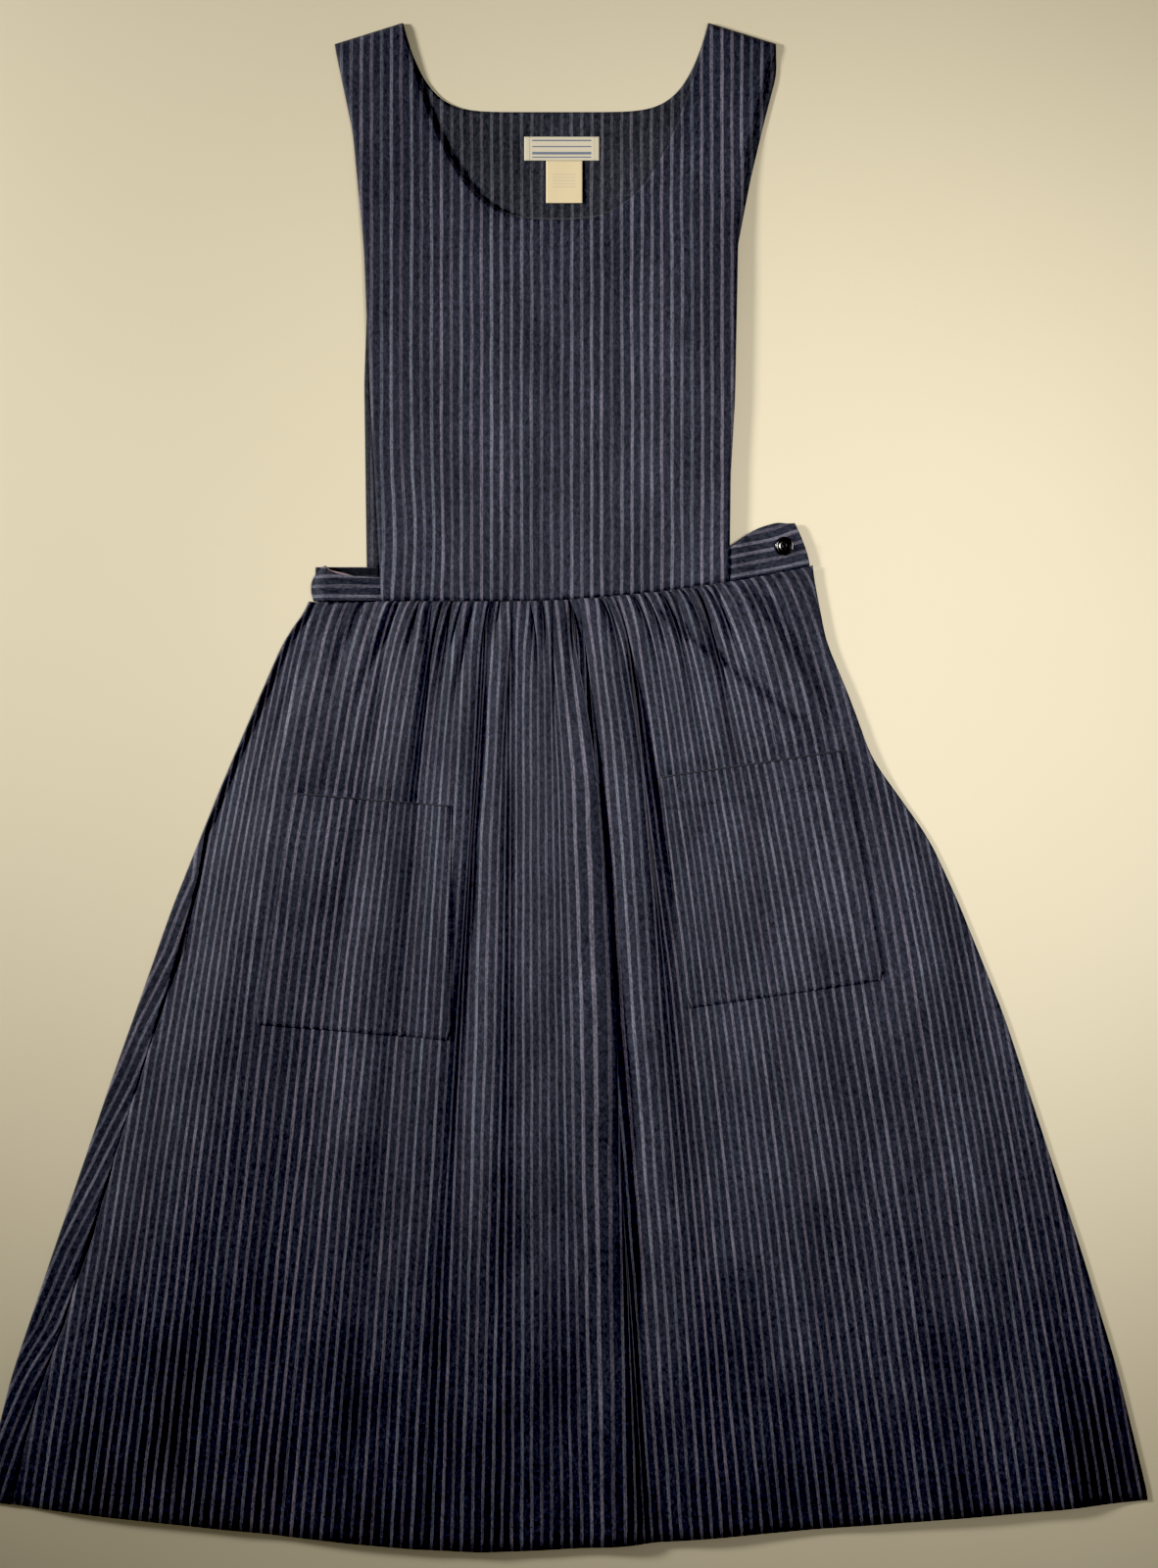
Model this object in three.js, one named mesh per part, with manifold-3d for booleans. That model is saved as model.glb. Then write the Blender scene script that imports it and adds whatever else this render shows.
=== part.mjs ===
// A striped denim pinafore apron dress, lying flat with its front up and its neck towards +Y.
// Millimetres, +Z up. The origin is under the middle of its outline, on the surface it lies on.
import * as THREE from 'three';
import { mergeVertices } from 'three/addons/utils/BufferGeometryUtils.js';
import Module from 'manifold-3d';

// Driving dimensions.
const TOTAL_LENGTH = 1224;
const BODICE_LENGTH = 463;
const HEM_WIDTH = 932;
const HEM_CORNER_RISE = 40;
const HEM_LOWEST_X = -62;
const WAIST_WIDTH = 403;
const WAIST_RISE = 30;
const WAIST_RISE_FROM_X = -50;
const FLARE_POWER = 0.8;

const BIB_CENTRE_X = -9;
const BIB_BOTTOM_WIDTH = 278;
const BIB_TOP_WIDTH = 354;
const NECK_WIDTH = 245;
const FRONT_NECK_DEPTH = 157;
const BACK_NECK_DEPTH = 71;
const FRONT_NECK_ROUNDNESS = 3.1;
const BACK_NECK_ROUNDNESS = 6.5;
const SHOULDER_SLOPE = 17;

const BAND_HEIGHT = 28;
const LAP_LENGTH = 64;
const LAP_END_HEIGHT = 34;
const LAP_END_LEAN = 11;
const LAP_END_FROM_SIDE = 7.2;
const FOLD_FROM_BIB = 22;
const PLACKET_LENGTH = 153;
const PLACKET_PULL = 28;
const PLACKET_FACING_WIDTH = 24;

const POCKET_DEPTH = 186;
const LEFT_POCKET = { x: -155, drop: 158, top: 127, bottom: 158, turn: -0.08 };
const RIGHT_POCKET = { x: 148, drop: 148, top: 149, bottom: 160, turn: 0.145 };
const POCKET_EDGE = 14;

const BUTTON_DIAMETER = 15;
const BUTTON_THICKNESS = 2.2;
const BUTTON_DISH = 0.8;
const BUTTON_HOLE_RADIUS = 0.9;
const BUTTON_HOLE_OFFSET = 1.5;
const BUTTON_FROM_END = 12.5;
const BUTTON_UP_BAND = 0.6;
const BUTTONHOLE_LENGTH = 17;
const BUTTONHOLE_WIDTH = 2.6;
const STITCH_BORDER = 1.4;
const SHANK_RADIUS = 0.9;
const SHANK_HEAD_RADIUS = 2.1;
const THREAD_RADIUS = 0.45;

const NECK_LABEL_WIDTH = 60;
const NECK_LABEL_HEIGHT = 19;
const NECK_LABEL_FROM_NECK = 20;
const NECK_LABEL_OFFSET = 5;
const LABEL_SEAM_INSET = 4;
const LABEL_SEAM_WIDTH = 0.8;
const CARE_LABEL_WIDTH = 29;
const CARE_LABEL_LENGTH = 34;
const CARE_LABEL_OFFSET = 7;
const LABEL_THICKNESS = 0.4;

const CLOTH = 0.8;
const THIN = 0.3;
const GAP = 0.3;
const BODY_GAP = 4.8;
const SIDE_SLOPE = 35;

// Heights of the layers, from the surface up.
const LAYER = CLOTH + GAP;
const BACK_LINING_Z = LAYER;
const INSIDE_Z = 2 * LAYER;
const FRONT_LINING_Z = BACK_LINING_Z + CLOTH + BODY_GAP;
const FRONT_BIB_Z = FRONT_LINING_Z + LAYER;
const FRONT_SKIRT_Z = FRONT_LINING_Z + CLOTH / 2 + THIN / 3;
const SIDE_SEAM_Z = LAYER;
const OPENING_EDGE_Z = 3 * LAYER;
const LAP_FACING_Z = INSIDE_Z;
const LAP_INTERFACING_Z = LAP_FACING_Z + LAYER;
const LAP_Z = LAP_INTERFACING_Z + THIN + GAP;
const LAP_STITCH_Z = LAP_Z + LAYER;
const SHANK_HEAD_Z = LAP_STITCH_Z + THIN + GAP;
const BUTTON_Z = SHANK_HEAD_Z + THIN + GAP;
const POCKET_Z = FRONT_SKIRT_Z + CLOTH + GAP;
const POCKET_BULGE = BODY_GAP - GAP;

// Places that follow from the driving dimensions.
const SHOULDER_Y = TOTAL_LENGTH / 2;
const HEM_Y = -TOTAL_LENGTH / 2;
const WAIST_Y = SHOULDER_Y - BODICE_LENGTH;
const HEM_HALF = HEM_WIDTH / 2;
const BIB_LEFT_X = BIB_CENTRE_X - BIB_BOTTOM_WIDTH / 2;
const BIB_RIGHT_X = BIB_CENTRE_X + BIB_BOTTOM_WIDTH / 2;
const LAP_FOOT_X = BIB_RIGHT_X + GAP;
const LAP_END_X = LAP_FOOT_X + LAP_LENGTH;
const WAIST_RIGHT_X = LAP_END_X + LAP_END_FROM_SIDE;
const WAIST_LEFT_X = WAIST_RIGHT_X - WAIST_WIDTH;

const lerp = THREE.MathUtils.lerp;
const clamp = THREE.MathUtils.clamp;

const wasm = await Module();
wasm.setup();

// The waist seam is level on the left and rises in a curve to the buttoned side.
function waistY(x) {
  const span = WAIST_RIGHT_X - WAIST_RISE_FROM_X;
  const along = Math.max(0, x - WAIST_RISE_FROM_X) / span;
  return WAIST_Y + WAIST_RISE * along * along;
}

// The hem falls to its lowest point a little left of the middle.
function hemY(x) {
  const side = x < HEM_LOWEST_X ? -HEM_HALF : HEM_HALF;
  const along = clamp((x - HEM_LOWEST_X) / (side - HEM_LOWEST_X), 0, 1);
  return HEM_Y + HEM_CORNER_RISE * along;
}

// A point on a side edge of the skirt: f is 0 at the hem and 1 at the waist.
function sideEdge(side, f) {
  const spread = Math.pow(1 - f, FLARE_POWER);
  const waistX = side < 0 ? WAIST_LEFT_X : WAIST_RIGHT_X;
  const x = lerp(waistX, side * HEM_HALF, spread);
  return [x, lerp(HEM_Y + HEM_CORNER_RISE, waistY(waistX), f)];
}

// The side opening on the right: its lower end, and how the edge is pulled in beside it.
const OPENING_DROP = waistY(WAIST_RIGHT_X) - HEM_Y - HEM_CORNER_RISE;
const OPENING_F = 1 - PLACKET_LENGTH / OPENING_DROP;
const OPENING_EASE = 0.15;

function rightEdge(f) {
  if (f > OPENING_F) {
    const low = rightEdge(OPENING_F);
    const top = [WAIST_RIGHT_X, waistY(WAIST_RIGHT_X)];
    const along = (f - OPENING_F) / (1 - OPENING_F);
    return [lerp(low[0], top[0], along), lerp(low[1], top[1], along)];
  }
  const [x, y] = sideEdge(1, f);
  const ease = clamp((f - OPENING_F + OPENING_EASE) / OPENING_EASE, 0, 1);
  return [x - PLACKET_PULL * ease, y];
}

function leftEdge(f) {
  return sideEdge(-1, f);
}

// The line on which the unbuttoned corner folds back: from the foot of the opening to the waist.
const FOLD_FOOT = rightEdge(OPENING_F);
const FOLD_WAIST_X = BIB_RIGHT_X + FOLD_FROM_BIB;
const FOLD_WAIST = [FOLD_WAIST_X, waistY(FOLD_WAIST_X)];
const FOLD_RUN = new THREE.Vector2(FOLD_WAIST[0] - FOLD_FOOT[0], FOLD_WAIST[1] - FOLD_FOOT[1]).normalize();
const FOLD_NORMAL = new THREE.Vector2(FOLD_RUN.y, -FOLD_RUN.x);

// A point of the fold line, moved to one side of it.
function foldPoint(f, offset) {
  const along = clamp((f - OPENING_F) / (1 - OPENING_F), 0, 1);
  const x = lerp(FOLD_FOOT[0], FOLD_WAIST[0], along) + FOLD_NORMAL.x * offset;
  const y = lerp(FOLD_FOOT[1], FOLD_WAIST[1], along) + FOLD_NORMAL.y * offset;
  return [x, y];
}

function foldXAtY(y, offset) {
  const along = (y - FOLD_FOOT[1]) / FOLD_RUN.y;
  return FOLD_FOOT[0] + FOLD_RUN.x * along + FOLD_NORMAL.x * offset;
}

// A closed sheet: place(i, j) gives the underside point of column i and row j.
function sheet(columns, rows, thickness, place) {
  const across = columns + 1;
  const layer = across * (rows + 1);
  const points = [];
  for (const lift of [0, thickness]) {
    for (let j = 0; j <= rows; j += 1) {
      for (let i = 0; i <= columns; i += 1) {
        const [x, y, z] = place(i, j);
        points.push(x, y, z + lift);
      }
    }
  }
  const index = [];
  const quad = (a, b, c, d) => index.push(a, b, c, a, c, d);
  for (let j = 0; j < rows; j += 1) {
    for (let i = 0; i < columns; i += 1) {
      const a = j * across + i;
      quad(a, a + across, a + across + 1, a + 1);
      quad(layer + a, layer + a + 1, layer + a + across + 1, layer + a + across);
    }
  }
  for (let i = 0; i < columns; i += 1) {
    const far = rows * across + i;
    quad(i, i + 1, layer + i + 1, layer + i);
    quad(far + 1, far, layer + far, layer + far + 1);
  }
  for (let j = 0; j < rows; j += 1) {
    const near = j * across;
    const far = near + columns;
    quad(near + across, near, layer + near, layer + near + across);
    quad(far, far + across, layer + far + across, layer + far);
  }
  const geometry = new THREE.BufferGeometry();
  geometry.setAttribute('position', new THREE.Float32BufferAttribute(points, 3));
  geometry.setIndex(index);
  return geometry;
}

// A flat plate with the given outline, its underside at height z.
function plate(outline, z, thickness) {
  const shape = new THREE.Shape(outline.map(([x, y]) => new THREE.Vector2(x, y)));
  const geometry = new THREE.ExtrudeGeometry(shape, { depth: thickness, bevelEnabled: false });
  return geometry.translate(0, 0, z);
}

function toSolid(geometry) {
  const bare = geometry.clone();
  bare.deleteAttribute('normal');
  bare.deleteAttribute('uv');
  const merged = mergeVertices(bare, 1e-4);
  const vertProperties = new Float32Array(merged.attributes.position.array);
  const triVerts = new Uint32Array(merged.index.array);
  return new wasm.Manifold(new wasm.Mesh({ numProp: 3, vertProperties, triVerts }));
}

function toGeometry(solid) {
  const mesh = solid.getMesh();
  const geometry = new THREE.BufferGeometry();
  geometry.setAttribute('position', new THREE.Float32BufferAttribute(mesh.vertProperties, 3));
  geometry.setIndex(Array.from(mesh.triVerts));
  return geometry;
}

function joined(geometries) {
  return toGeometry(geometries.map(toSolid).reduce((whole, piece) => whole.add(piece)));
}

function cutBy(geometry, tools) {
  return toGeometry(tools.map(toSolid).reduce((whole, tool) => whole.subtract(tool), toSolid(geometry)));
}

const DENIM = { color: 0x2b2f3d, roughness: 0.85, metalness: 0 };
const DENIM_INSIDE = { color: 0x3a3f4c, roughness: 0.9, metalness: 0 };
const WOVEN_LABEL = { color: 0xd6cfba, roughness: 0.7, metalness: 0 };
const SATIN_LABEL = { color: 0xe6d6b0, roughness: 0.5, metalness: 0 };
const BUTTON_BLACK = { color: 0x141214, roughness: 0.2, metalness: 0 };
const THREAD = { color: 0x1c2030, roughness: 0.8, metalness: 0 };
const INTERFACING = { color: 0xc9c6bd, roughness: 0.95, metalness: 0 };

const dress = new THREE.Group();

function addPiece(name, geometry, look) {
  const mesh = new THREE.Mesh(geometry, new THREE.MeshStandardMaterial(look));
  mesh.name = name;
  dress.add(mesh);
}

// Skirt: rows run from the hem to the foot of the side opening, then on to the waist.
const LOWER_ROWS = 12;
const UPPER_ROWS = 4;
const SKIRT_ROWS = LOWER_ROWS + UPPER_ROWS;

function rowF(j) {
  if (j <= LOWER_ROWS) {
    return OPENING_F * j / LOWER_ROWS;
  }
  return lerp(OPENING_F, 1, (j - LOWER_ROWS) / UPPER_ROWS);
}

// Moves a point that lies on the straight chord of its row onto the curved hem or waist.
function onRow(left, right, x, f) {
  const along = (x - left[0]) / (right[0] - left[0]);
  const chord = lerp(left[1], right[1], along);
  const hemShift = hemY(x) - lerp(hemY(left[0]), hemY(right[0]), along);
  const waistShift = waistY(x) - lerp(waistY(left[0]), waistY(right[0]), along);
  const low = Math.pow(1 - f, 3);
  const high = Math.pow(f, 3);
  return chord + hemShift * low + waistShift * high - GAP * high;
}

const BACK_COLUMNS = 8;
addPiece('back_skirt', sheet(BACK_COLUMNS, SKIRT_ROWS, CLOTH, (i, j) => {
  const f = rowF(j);
  const left = leftEdge(f);
  const right = rightEdge(f);
  const x = lerp(left[0], right[0], i / BACK_COLUMNS);
  return [x, onRow(left, right, x, f), 0];
}), DENIM);

// The front skirt lies level over the wearer's space and slopes down to the side seams.
const FRONT_COLUMNS = 11;
addPiece('front_skirt', sheet(FRONT_COLUMNS, SKIRT_ROWS, CLOTH, (i, j) => {
  const f = rowF(j);
  const left = leftEdge(f);
  const right = rightEdge(f);
  const fold = foldPoint(f, -GAP);
  const cutAtFold = f >= OPENING_F;
  const end = cutAtFold ? fold : right;
  const slopeStart = Math.min(right[0] - SIDE_SLOPE, end[0] - GAP);
  const slopeFoot = left[0] + SIDE_SLOPE;
  if (i === 0) {
    return [left[0], left[1], SIDE_SEAM_Z];
  }
  if (i === FRONT_COLUMNS) {
    const inside = clamp((right[0] - end[0]) / SIDE_SLOPE, 0, 1);
    const height = lerp(SIDE_SEAM_Z, FRONT_SKIRT_Z, inside);
    return [end[0], cutAtFold ? end[1] - GAP : end[1], height];
  }
  const x = lerp(slopeFoot, slopeStart, (i - 1) / (FRONT_COLUMNS - 2));
  return [x, onRow(left, right, x, f), FRONT_SKIRT_Z];
}), DENIM);

// The corner of the front skirt between the fold line and the side opening.
const CORNER_START = 0.1;
function cornerF(j, rows) {
  return lerp(OPENING_F + (1 - OPENING_F) * CORNER_START, 1, j / rows);
}

const CORNER_COLUMNS = 3;
addPiece('skirt_corner', sheet(CORNER_COLUMNS, UPPER_ROWS, CLOTH, (i, j) => {
  const f = cornerF(j, UPPER_ROWS);
  const right = rightEdge(f);
  const fold = foldPoint(f, GAP);
  const x = lerp(fold[0], right[0], i / CORNER_COLUMNS);
  const inside = clamp((right[0] - x) / SIDE_SLOPE, 0, 1);
  return [x, onRow(fold, right, x, f) - GAP / 2, lerp(OPENING_EDGE_Z, FRONT_SKIRT_Z, inside)];
}), DENIM);

// Facings of the side opening: one on the back edge, one under the front corner.
function facingStrip(z) {
  return sheet(1, UPPER_ROWS, CLOTH, (i, j) => {
    const f = cornerF(j, UPPER_ROWS);
    const right = rightEdge(f);
    const room = right[0] - foldPoint(f, LAYER)[0];
    const inset = i === 1 ? 0 : Math.min(PLACKET_FACING_WIDTH, room);
    const seamDrop = waistY(right[0]) - waistY(right[0] - inset);
    return [right[0] - inset, right[1] - GAP - seamDrop, z];
  });
}

addPiece('back_opening_facing', facingStrip(BACK_LINING_Z), DENIM_INSIDE);
addPiece('front_opening_facing', facingStrip(INSIDE_Z), DENIM_INSIDE);

// Bibs: side edges lean out to the shoulders, and the neck is a rounded U between the straps.
const BIB_SIDE_STEPS = 6;
const NECK_STEPS = 20;
const BIB_SIDE_POWER = 2.2;

function bibOutline(bottomOffset, neckDepth, roundness, inset) {
  const bottomHalf = BIB_BOTTOM_WIDTH / 2 - inset;
  const topHalf = BIB_TOP_WIDTH / 2 - inset;
  const neckHalf = NECK_WIDTH / 2 + inset;
  const outerY = SHOULDER_Y - SHOULDER_SLOPE - inset;
  const innerY = SHOULDER_Y - inset;
  const outline = [];
  for (let i = 0; i <= BIB_SIDE_STEPS; i += 1) {
    const x = BIB_CENTRE_X + lerp(-bottomHalf, bottomHalf, i / BIB_SIDE_STEPS);
    outline.push([x, waistY(x) + bottomOffset(x)]);
  }
  const sideFoot = outline.at(-1)[1];
  for (let i = 1; i <= BIB_SIDE_STEPS; i += 1) {
    const t = i / BIB_SIDE_STEPS;
    const lean = Math.pow(t, BIB_SIDE_POWER);
    outline.push([BIB_CENTRE_X + lerp(bottomHalf, topHalf, lean), lerp(sideFoot, outerY, t)]);
  }
  for (let i = 0; i <= NECK_STEPS; i += 1) {
    const angle = Math.PI * i / NECK_STEPS;
    const u = Math.cos(angle);
    const depth = neckDepth * (1 - Math.pow(Math.abs(u), roundness));
    outline.push([BIB_CENTRE_X + neckHalf * u, innerY - depth]);
  }
  const leftFoot = outline[0][1];
  for (let i = BIB_SIDE_STEPS; i >= 1; i -= 1) {
    const t = i / BIB_SIDE_STEPS;
    const lean = Math.pow(t, BIB_SIDE_POWER);
    outline.push([BIB_CENTRE_X - lerp(bottomHalf, topHalf, lean), lerp(leftFoot, outerY, t)]);
  }
  return outline;
}

// The front strap turns down at the shoulder seam to meet the back strap.
function shoulderTurn(side) {
  const outerX = BIB_CENTRE_X + side * BIB_TOP_WIDTH / 2;
  const innerX = BIB_CENTRE_X + side * NECK_WIDTH / 2;
  const outerY = SHOULDER_Y - SHOULDER_SLOPE;
  const corners = [
    [innerX, SHOULDER_Y],
    [outerX, outerY],
    [outerX, outerY - CLOTH],
    [innerX, SHOULDER_Y - CLOTH],
  ];
  const outline = side > 0 ? corners.reverse() : corners;
  return plate(outline, INSIDE_Z, FRONT_BIB_Z + CLOTH - INSIDE_Z);
}

const aboveSeam = () => GAP;
const aboveBand = () => BAND_HEIGHT + GAP;
const LINING_INSET = CLOTH + 3 * GAP;
const frontOutline = bibOutline(aboveSeam, FRONT_NECK_DEPTH, FRONT_NECK_ROUNDNESS, 0);
const frontLiningOutline = bibOutline(aboveSeam, FRONT_NECK_DEPTH, FRONT_NECK_ROUNDNESS, LINING_INSET);
const backOutline = bibOutline(aboveBand, BACK_NECK_DEPTH, BACK_NECK_ROUNDNESS, 0);
const backLiningOutline = bibOutline(aboveBand, BACK_NECK_DEPTH, BACK_NECK_ROUNDNESS, LINING_INSET);

addPiece('back_bib', plate(backOutline, 0, CLOTH), DENIM);
addPiece('back_bib_lining', plate(backLiningOutline, BACK_LINING_Z, CLOTH), DENIM_INSIDE);
addPiece('front_bib_lining', plate(frontLiningOutline, FRONT_LINING_Z, CLOTH), DENIM_INSIDE);
const frontBib = [plate(frontOutline, FRONT_BIB_Z, CLOTH), shoulderTurn(-1), shoulderTurn(1)];
addPiece('front_bib', joined(frontBib), DENIM);

// Waistband: a quad of cloth given by its two bottom corners and two top corners.
function quadPoint(quad, u, v) {
  const [a, b, c, d] = quad;
  const x = lerp(lerp(a[0], b[0], u), lerp(d[0], c[0], u), v);
  const y = lerp(lerp(a[1], b[1], u), lerp(d[1], c[1], u), v);
  return [x, y];
}

const LAP_QUAD = [
  [LAP_FOOT_X, waistY(LAP_FOOT_X) + GAP],
  [LAP_END_X, waistY(LAP_END_X) + GAP],
  [LAP_END_X - LAP_END_LEAN, waistY(LAP_END_X) + LAP_END_HEIGHT],
  [LAP_FOOT_X, waistY(LAP_FOOT_X) + BAND_HEIGHT],
];

// Splits the lap on the fold line, so that its free end turns with the corner.
function lapSplit(offset) {
  const foot = [foldXAtY(LAP_QUAD[0][1] + GAP, offset), 0];
  foot[1] = waistY(foot[0]) + GAP;
  const headY = LAP_QUAD[3][1];
  const head = [Math.max(foldXAtY(headY, offset), LAP_QUAD[3][0] + 1), headY];
  return [foot, head];
}

const [stubFoot, stubHead] = lapSplit(-GAP);
const [lapFoot, lapHead] = lapSplit(GAP);
const STUB_QUAD = [LAP_QUAD[0], stubFoot, stubHead, LAP_QUAD[3]];
const FREE_QUAD = [lapFoot, LAP_QUAD[1], LAP_QUAD[2], lapHead];
const LAP_STEPS = [0, 0.28, 1];

function lapSheet(highZ, lowZ) {
  return sheet(2, 1, CLOTH, (i, j) => {
    const [x, y] = quadPoint(FREE_QUAD, LAP_STEPS[i], j);
    return [x, y, i === 0 ? highZ : lowZ];
  });
}

const buttonU = 1 - BUTTON_FROM_END / (FREE_QUAD[1][0] - FREE_QUAD[0][0]);
const BUTTON_AT = quadPoint(FREE_QUAD, buttonU, BUTTON_UP_BAND);
const bandTilt = Math.atan2(FREE_QUAD[1][1] - FREE_QUAD[0][1], FREE_QUAD[1][0] - FREE_QUAD[0][0]);

// A slot shape with round ends, centred on the button and lying along the band.
function slot(length, width, z, depth) {
  const radius = width / 2;
  const half = length / 2 - radius;
  const shape = new THREE.Shape();
  shape.absarc(half, 0, radius, -Math.PI / 2, Math.PI / 2, false);
  shape.absarc(-half, 0, radius, Math.PI / 2, Math.PI * 1.5, false);
  const geometry = new THREE.ExtrudeGeometry(shape, { depth, bevelEnabled: false, curveSegments: 6 });
  geometry.rotateZ(bandTilt);
  return geometry.translate(BUTTON_AT[0], BUTTON_AT[1], z);
}

const throughSlot = slot(BUTTONHOLE_LENGTH, BUTTONHOLE_WIDTH, 0, BUTTON_Z);

addPiece('waistband_lap', cutBy(lapSheet(FRONT_BIB_Z, LAP_Z), [throughSlot]), DENIM);
addPiece('waistband_lap_facing', cutBy(lapSheet(FRONT_LINING_Z, LAP_FACING_Z), [throughSlot]), DENIM_INSIDE);

// Interfacing stiffens the part of the lap that holds the buttonhole.
const INTERFACING_FROM = 0.36;
const INTERFACING_TO = 0.96;
const INTERFACING_EDGE = 0.06;
const interfacing = sheet(1, 1, THIN, (i, j) => {
  const u = lerp(INTERFACING_FROM, INTERFACING_TO, i);
  const [x, y] = quadPoint(FREE_QUAD, u, lerp(INTERFACING_EDGE, 1 - INTERFACING_EDGE, j));
  return [x, y, LAP_INTERFACING_Z];
});
addPiece('lap_interfacing', cutBy(interfacing, [throughSlot]), INTERFACING);

const stitchLength = BUTTONHOLE_LENGTH + 2 * STITCH_BORDER;
const stitchWidth = BUTTONHOLE_WIDTH + 2 * STITCH_BORDER;
const stitchPatch = slot(stitchLength, stitchWidth, LAP_STITCH_Z, THIN);
addPiece('buttonhole_stitching', cutBy(stitchPatch, [throughSlot]), THREAD);

function stubSheet(z) {
  return sheet(1, 1, CLOTH, (i, j) => [...quadPoint(STUB_QUAD, i, j), z]);
}
addPiece('right_waistband', stubSheet(FRONT_BIB_Z), DENIM);
addPiece('right_waistband_facing', stubSheet(FRONT_LINING_Z), DENIM_INSIDE);

// The left waistband runs from the bib round the side, where it comes down to the back band.
const LEFT_BAND_STEPS = [0, 0.6, 1];
function leftBand(sideZ, bibZ) {
  return sheet(2, 1, CLOTH, (i, j) => {
    const x = lerp(WAIST_LEFT_X, BIB_LEFT_X - GAP, LEFT_BAND_STEPS[i]);
    return [x, waistY(x) + lerp(GAP, BAND_HEIGHT, j), i === 0 ? sideZ : bibZ];
  });
}
addPiece('left_waistband', leftBand(INSIDE_Z + LAYER, FRONT_BIB_Z), DENIM);
addPiece('left_waistband_facing', leftBand(INSIDE_Z, FRONT_LINING_Z), DENIM_INSIDE);

// The back waistband crosses the whole back, and its right end is the underlap. It bends where the
// lower edge of the bib does, so that the two edges run side by side.
const BAND_BENDS = [WAIST_LEFT_X];
for (let i = 0; i <= BIB_SIDE_STEPS; i += 1) {
  BAND_BENDS.push(lerp(BIB_LEFT_X, BIB_RIGHT_X, i / BIB_SIDE_STEPS));
}
BAND_BENDS.push(lerp(BIB_RIGHT_X, LAP_END_X, 0.5), LAP_END_X);
const BAND_COLUMNS = BAND_BENDS.length - 1;
function backBand(z) {
  return sheet(BAND_COLUMNS, 1, CLOTH, (i, j) => {
    const x = BAND_BENDS[i] - (i === BAND_COLUMNS ? LAP_END_LEAN * j : 0);
    return [x, waistY(x) + lerp(GAP, BAND_HEIGHT, j), z];
  });
}
addPiece('back_waistband', backBand(0), DENIM);
addPiece('back_waistband_facing', backBand(BACK_LINING_Z), DENIM_INSIDE);

// Patch pockets: sewn down on three sides, open along the top for a hand.
function pocket(spec) {
  const steps = [0, POCKET_EDGE, -POCKET_EDGE, 0];
  const topY = waistY(spec.x) - spec.drop;
  return sheet(3, 2, CLOTH, (i, j) => {
    const down = [POCKET_DEPTH, POCKET_DEPTH - POCKET_EDGE, 0][j];
    const width = lerp(spec.top, spec.bottom, down / POCKET_DEPTH);
    const across = (i < 2 ? -width : width) / 2 + steps[i];
    const turned = new THREE.Vector2(across, -down).rotateAround(new THREE.Vector2(), spec.turn);
    const atEdge = i === 0 || i === 3 || j === 0;
    return [spec.x + turned.x, topY + turned.y, atEdge ? POCKET_Z : POCKET_Z + POCKET_BULGE];
  });
}
addPiece('left_pocket', pocket(LEFT_POCKET), DENIM);
addPiece('right_pocket', pocket(RIGHT_POCKET), DENIM);

// The button, dished, with four holes, and its thread with a short shank.
const buttonRadius = BUTTON_DIAMETER / 2;
const buttonProfile = [
  [0, 0],
  [buttonRadius * 0.8, 0],
  [buttonRadius, BUTTON_THICKNESS * 0.4],
  [buttonRadius, BUTTON_THICKNESS * 0.7],
  [buttonRadius * 0.88, BUTTON_THICKNESS],
  [buttonRadius * 0.62, BUTTON_THICKNESS - BUTTON_DISH],
  [0, BUTTON_THICKNESS - BUTTON_DISH],
].map(([r, z]) => new THREE.Vector2(r, z));
const BUTTON_SEGMENTS = 32;
const buttonBlank = new THREE.LatheGeometry(buttonProfile, BUTTON_SEGMENTS).rotateX(Math.PI / 2);

function peg(radius, x, y, z, height, segments) {
  const geometry = new THREE.CylinderGeometry(radius, radius, height, segments);
  return geometry.rotateX(Math.PI / 2).translate(x, y, z + height / 2);
}

const HOLE_PLACES = [];
for (let i = 0; i < 4; i += 1) {
  const angle = Math.PI / 4 + i * Math.PI / 2;
  const reach = BUTTON_HOLE_OFFSET * Math.SQRT2;
  HOLE_PLACES.push([reach * Math.cos(angle), reach * Math.sin(angle)]);
}
const holes = HOLE_PLACES.map(([x, y]) => peg(BUTTON_HOLE_RADIUS, x, y, -1, BUTTON_THICKNESS + 2, 12));
const button = cutBy(buttonBlank, holes).rotateZ(bandTilt).translate(BUTTON_AT[0], BUTTON_AT[1], BUTTON_Z);
addPiece('side_button', button, BUTTON_BLACK);

const threadBase = INSIDE_Z;
const shankHeadTop = SHANK_HEAD_Z + THIN;
const barZ = BUTTON_Z + BUTTON_THICKNESS - BUTTON_DISH + GAP;
const threadReach = BUTTON_HOLE_OFFSET + THREAD_RADIUS;
const postTop = barZ + THREAD_RADIUS;
const threadParts = [
  peg(SHANK_RADIUS, 0, 0, threadBase, SHANK_HEAD_Z - threadBase + THIN / 2, 12),
  peg(SHANK_HEAD_RADIUS + THREAD_RADIUS, 0, 0, SHANK_HEAD_Z, THIN, 16),
];
for (const [x, y] of HOLE_PLACES) {
  const start = shankHeadTop - THIN / 2;
  threadParts.push(peg(THREAD_RADIUS, x, y, start, postTop - start, 8));
}
for (const y of [-BUTTON_HOLE_OFFSET, BUTTON_HOLE_OFFSET]) {
  const bar = new THREE.BoxGeometry(2 * threadReach, 2 * THREAD_RADIUS, 2 * THREAD_RADIUS);
  threadParts.push(bar.translate(0, y, barZ + THREAD_RADIUS));
}
const thread = joined(threadParts).rotateZ(bandTilt).translate(BUTTON_AT[0], BUTTON_AT[1], 0);
addPiece('button_thread', thread, THREAD);

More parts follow.
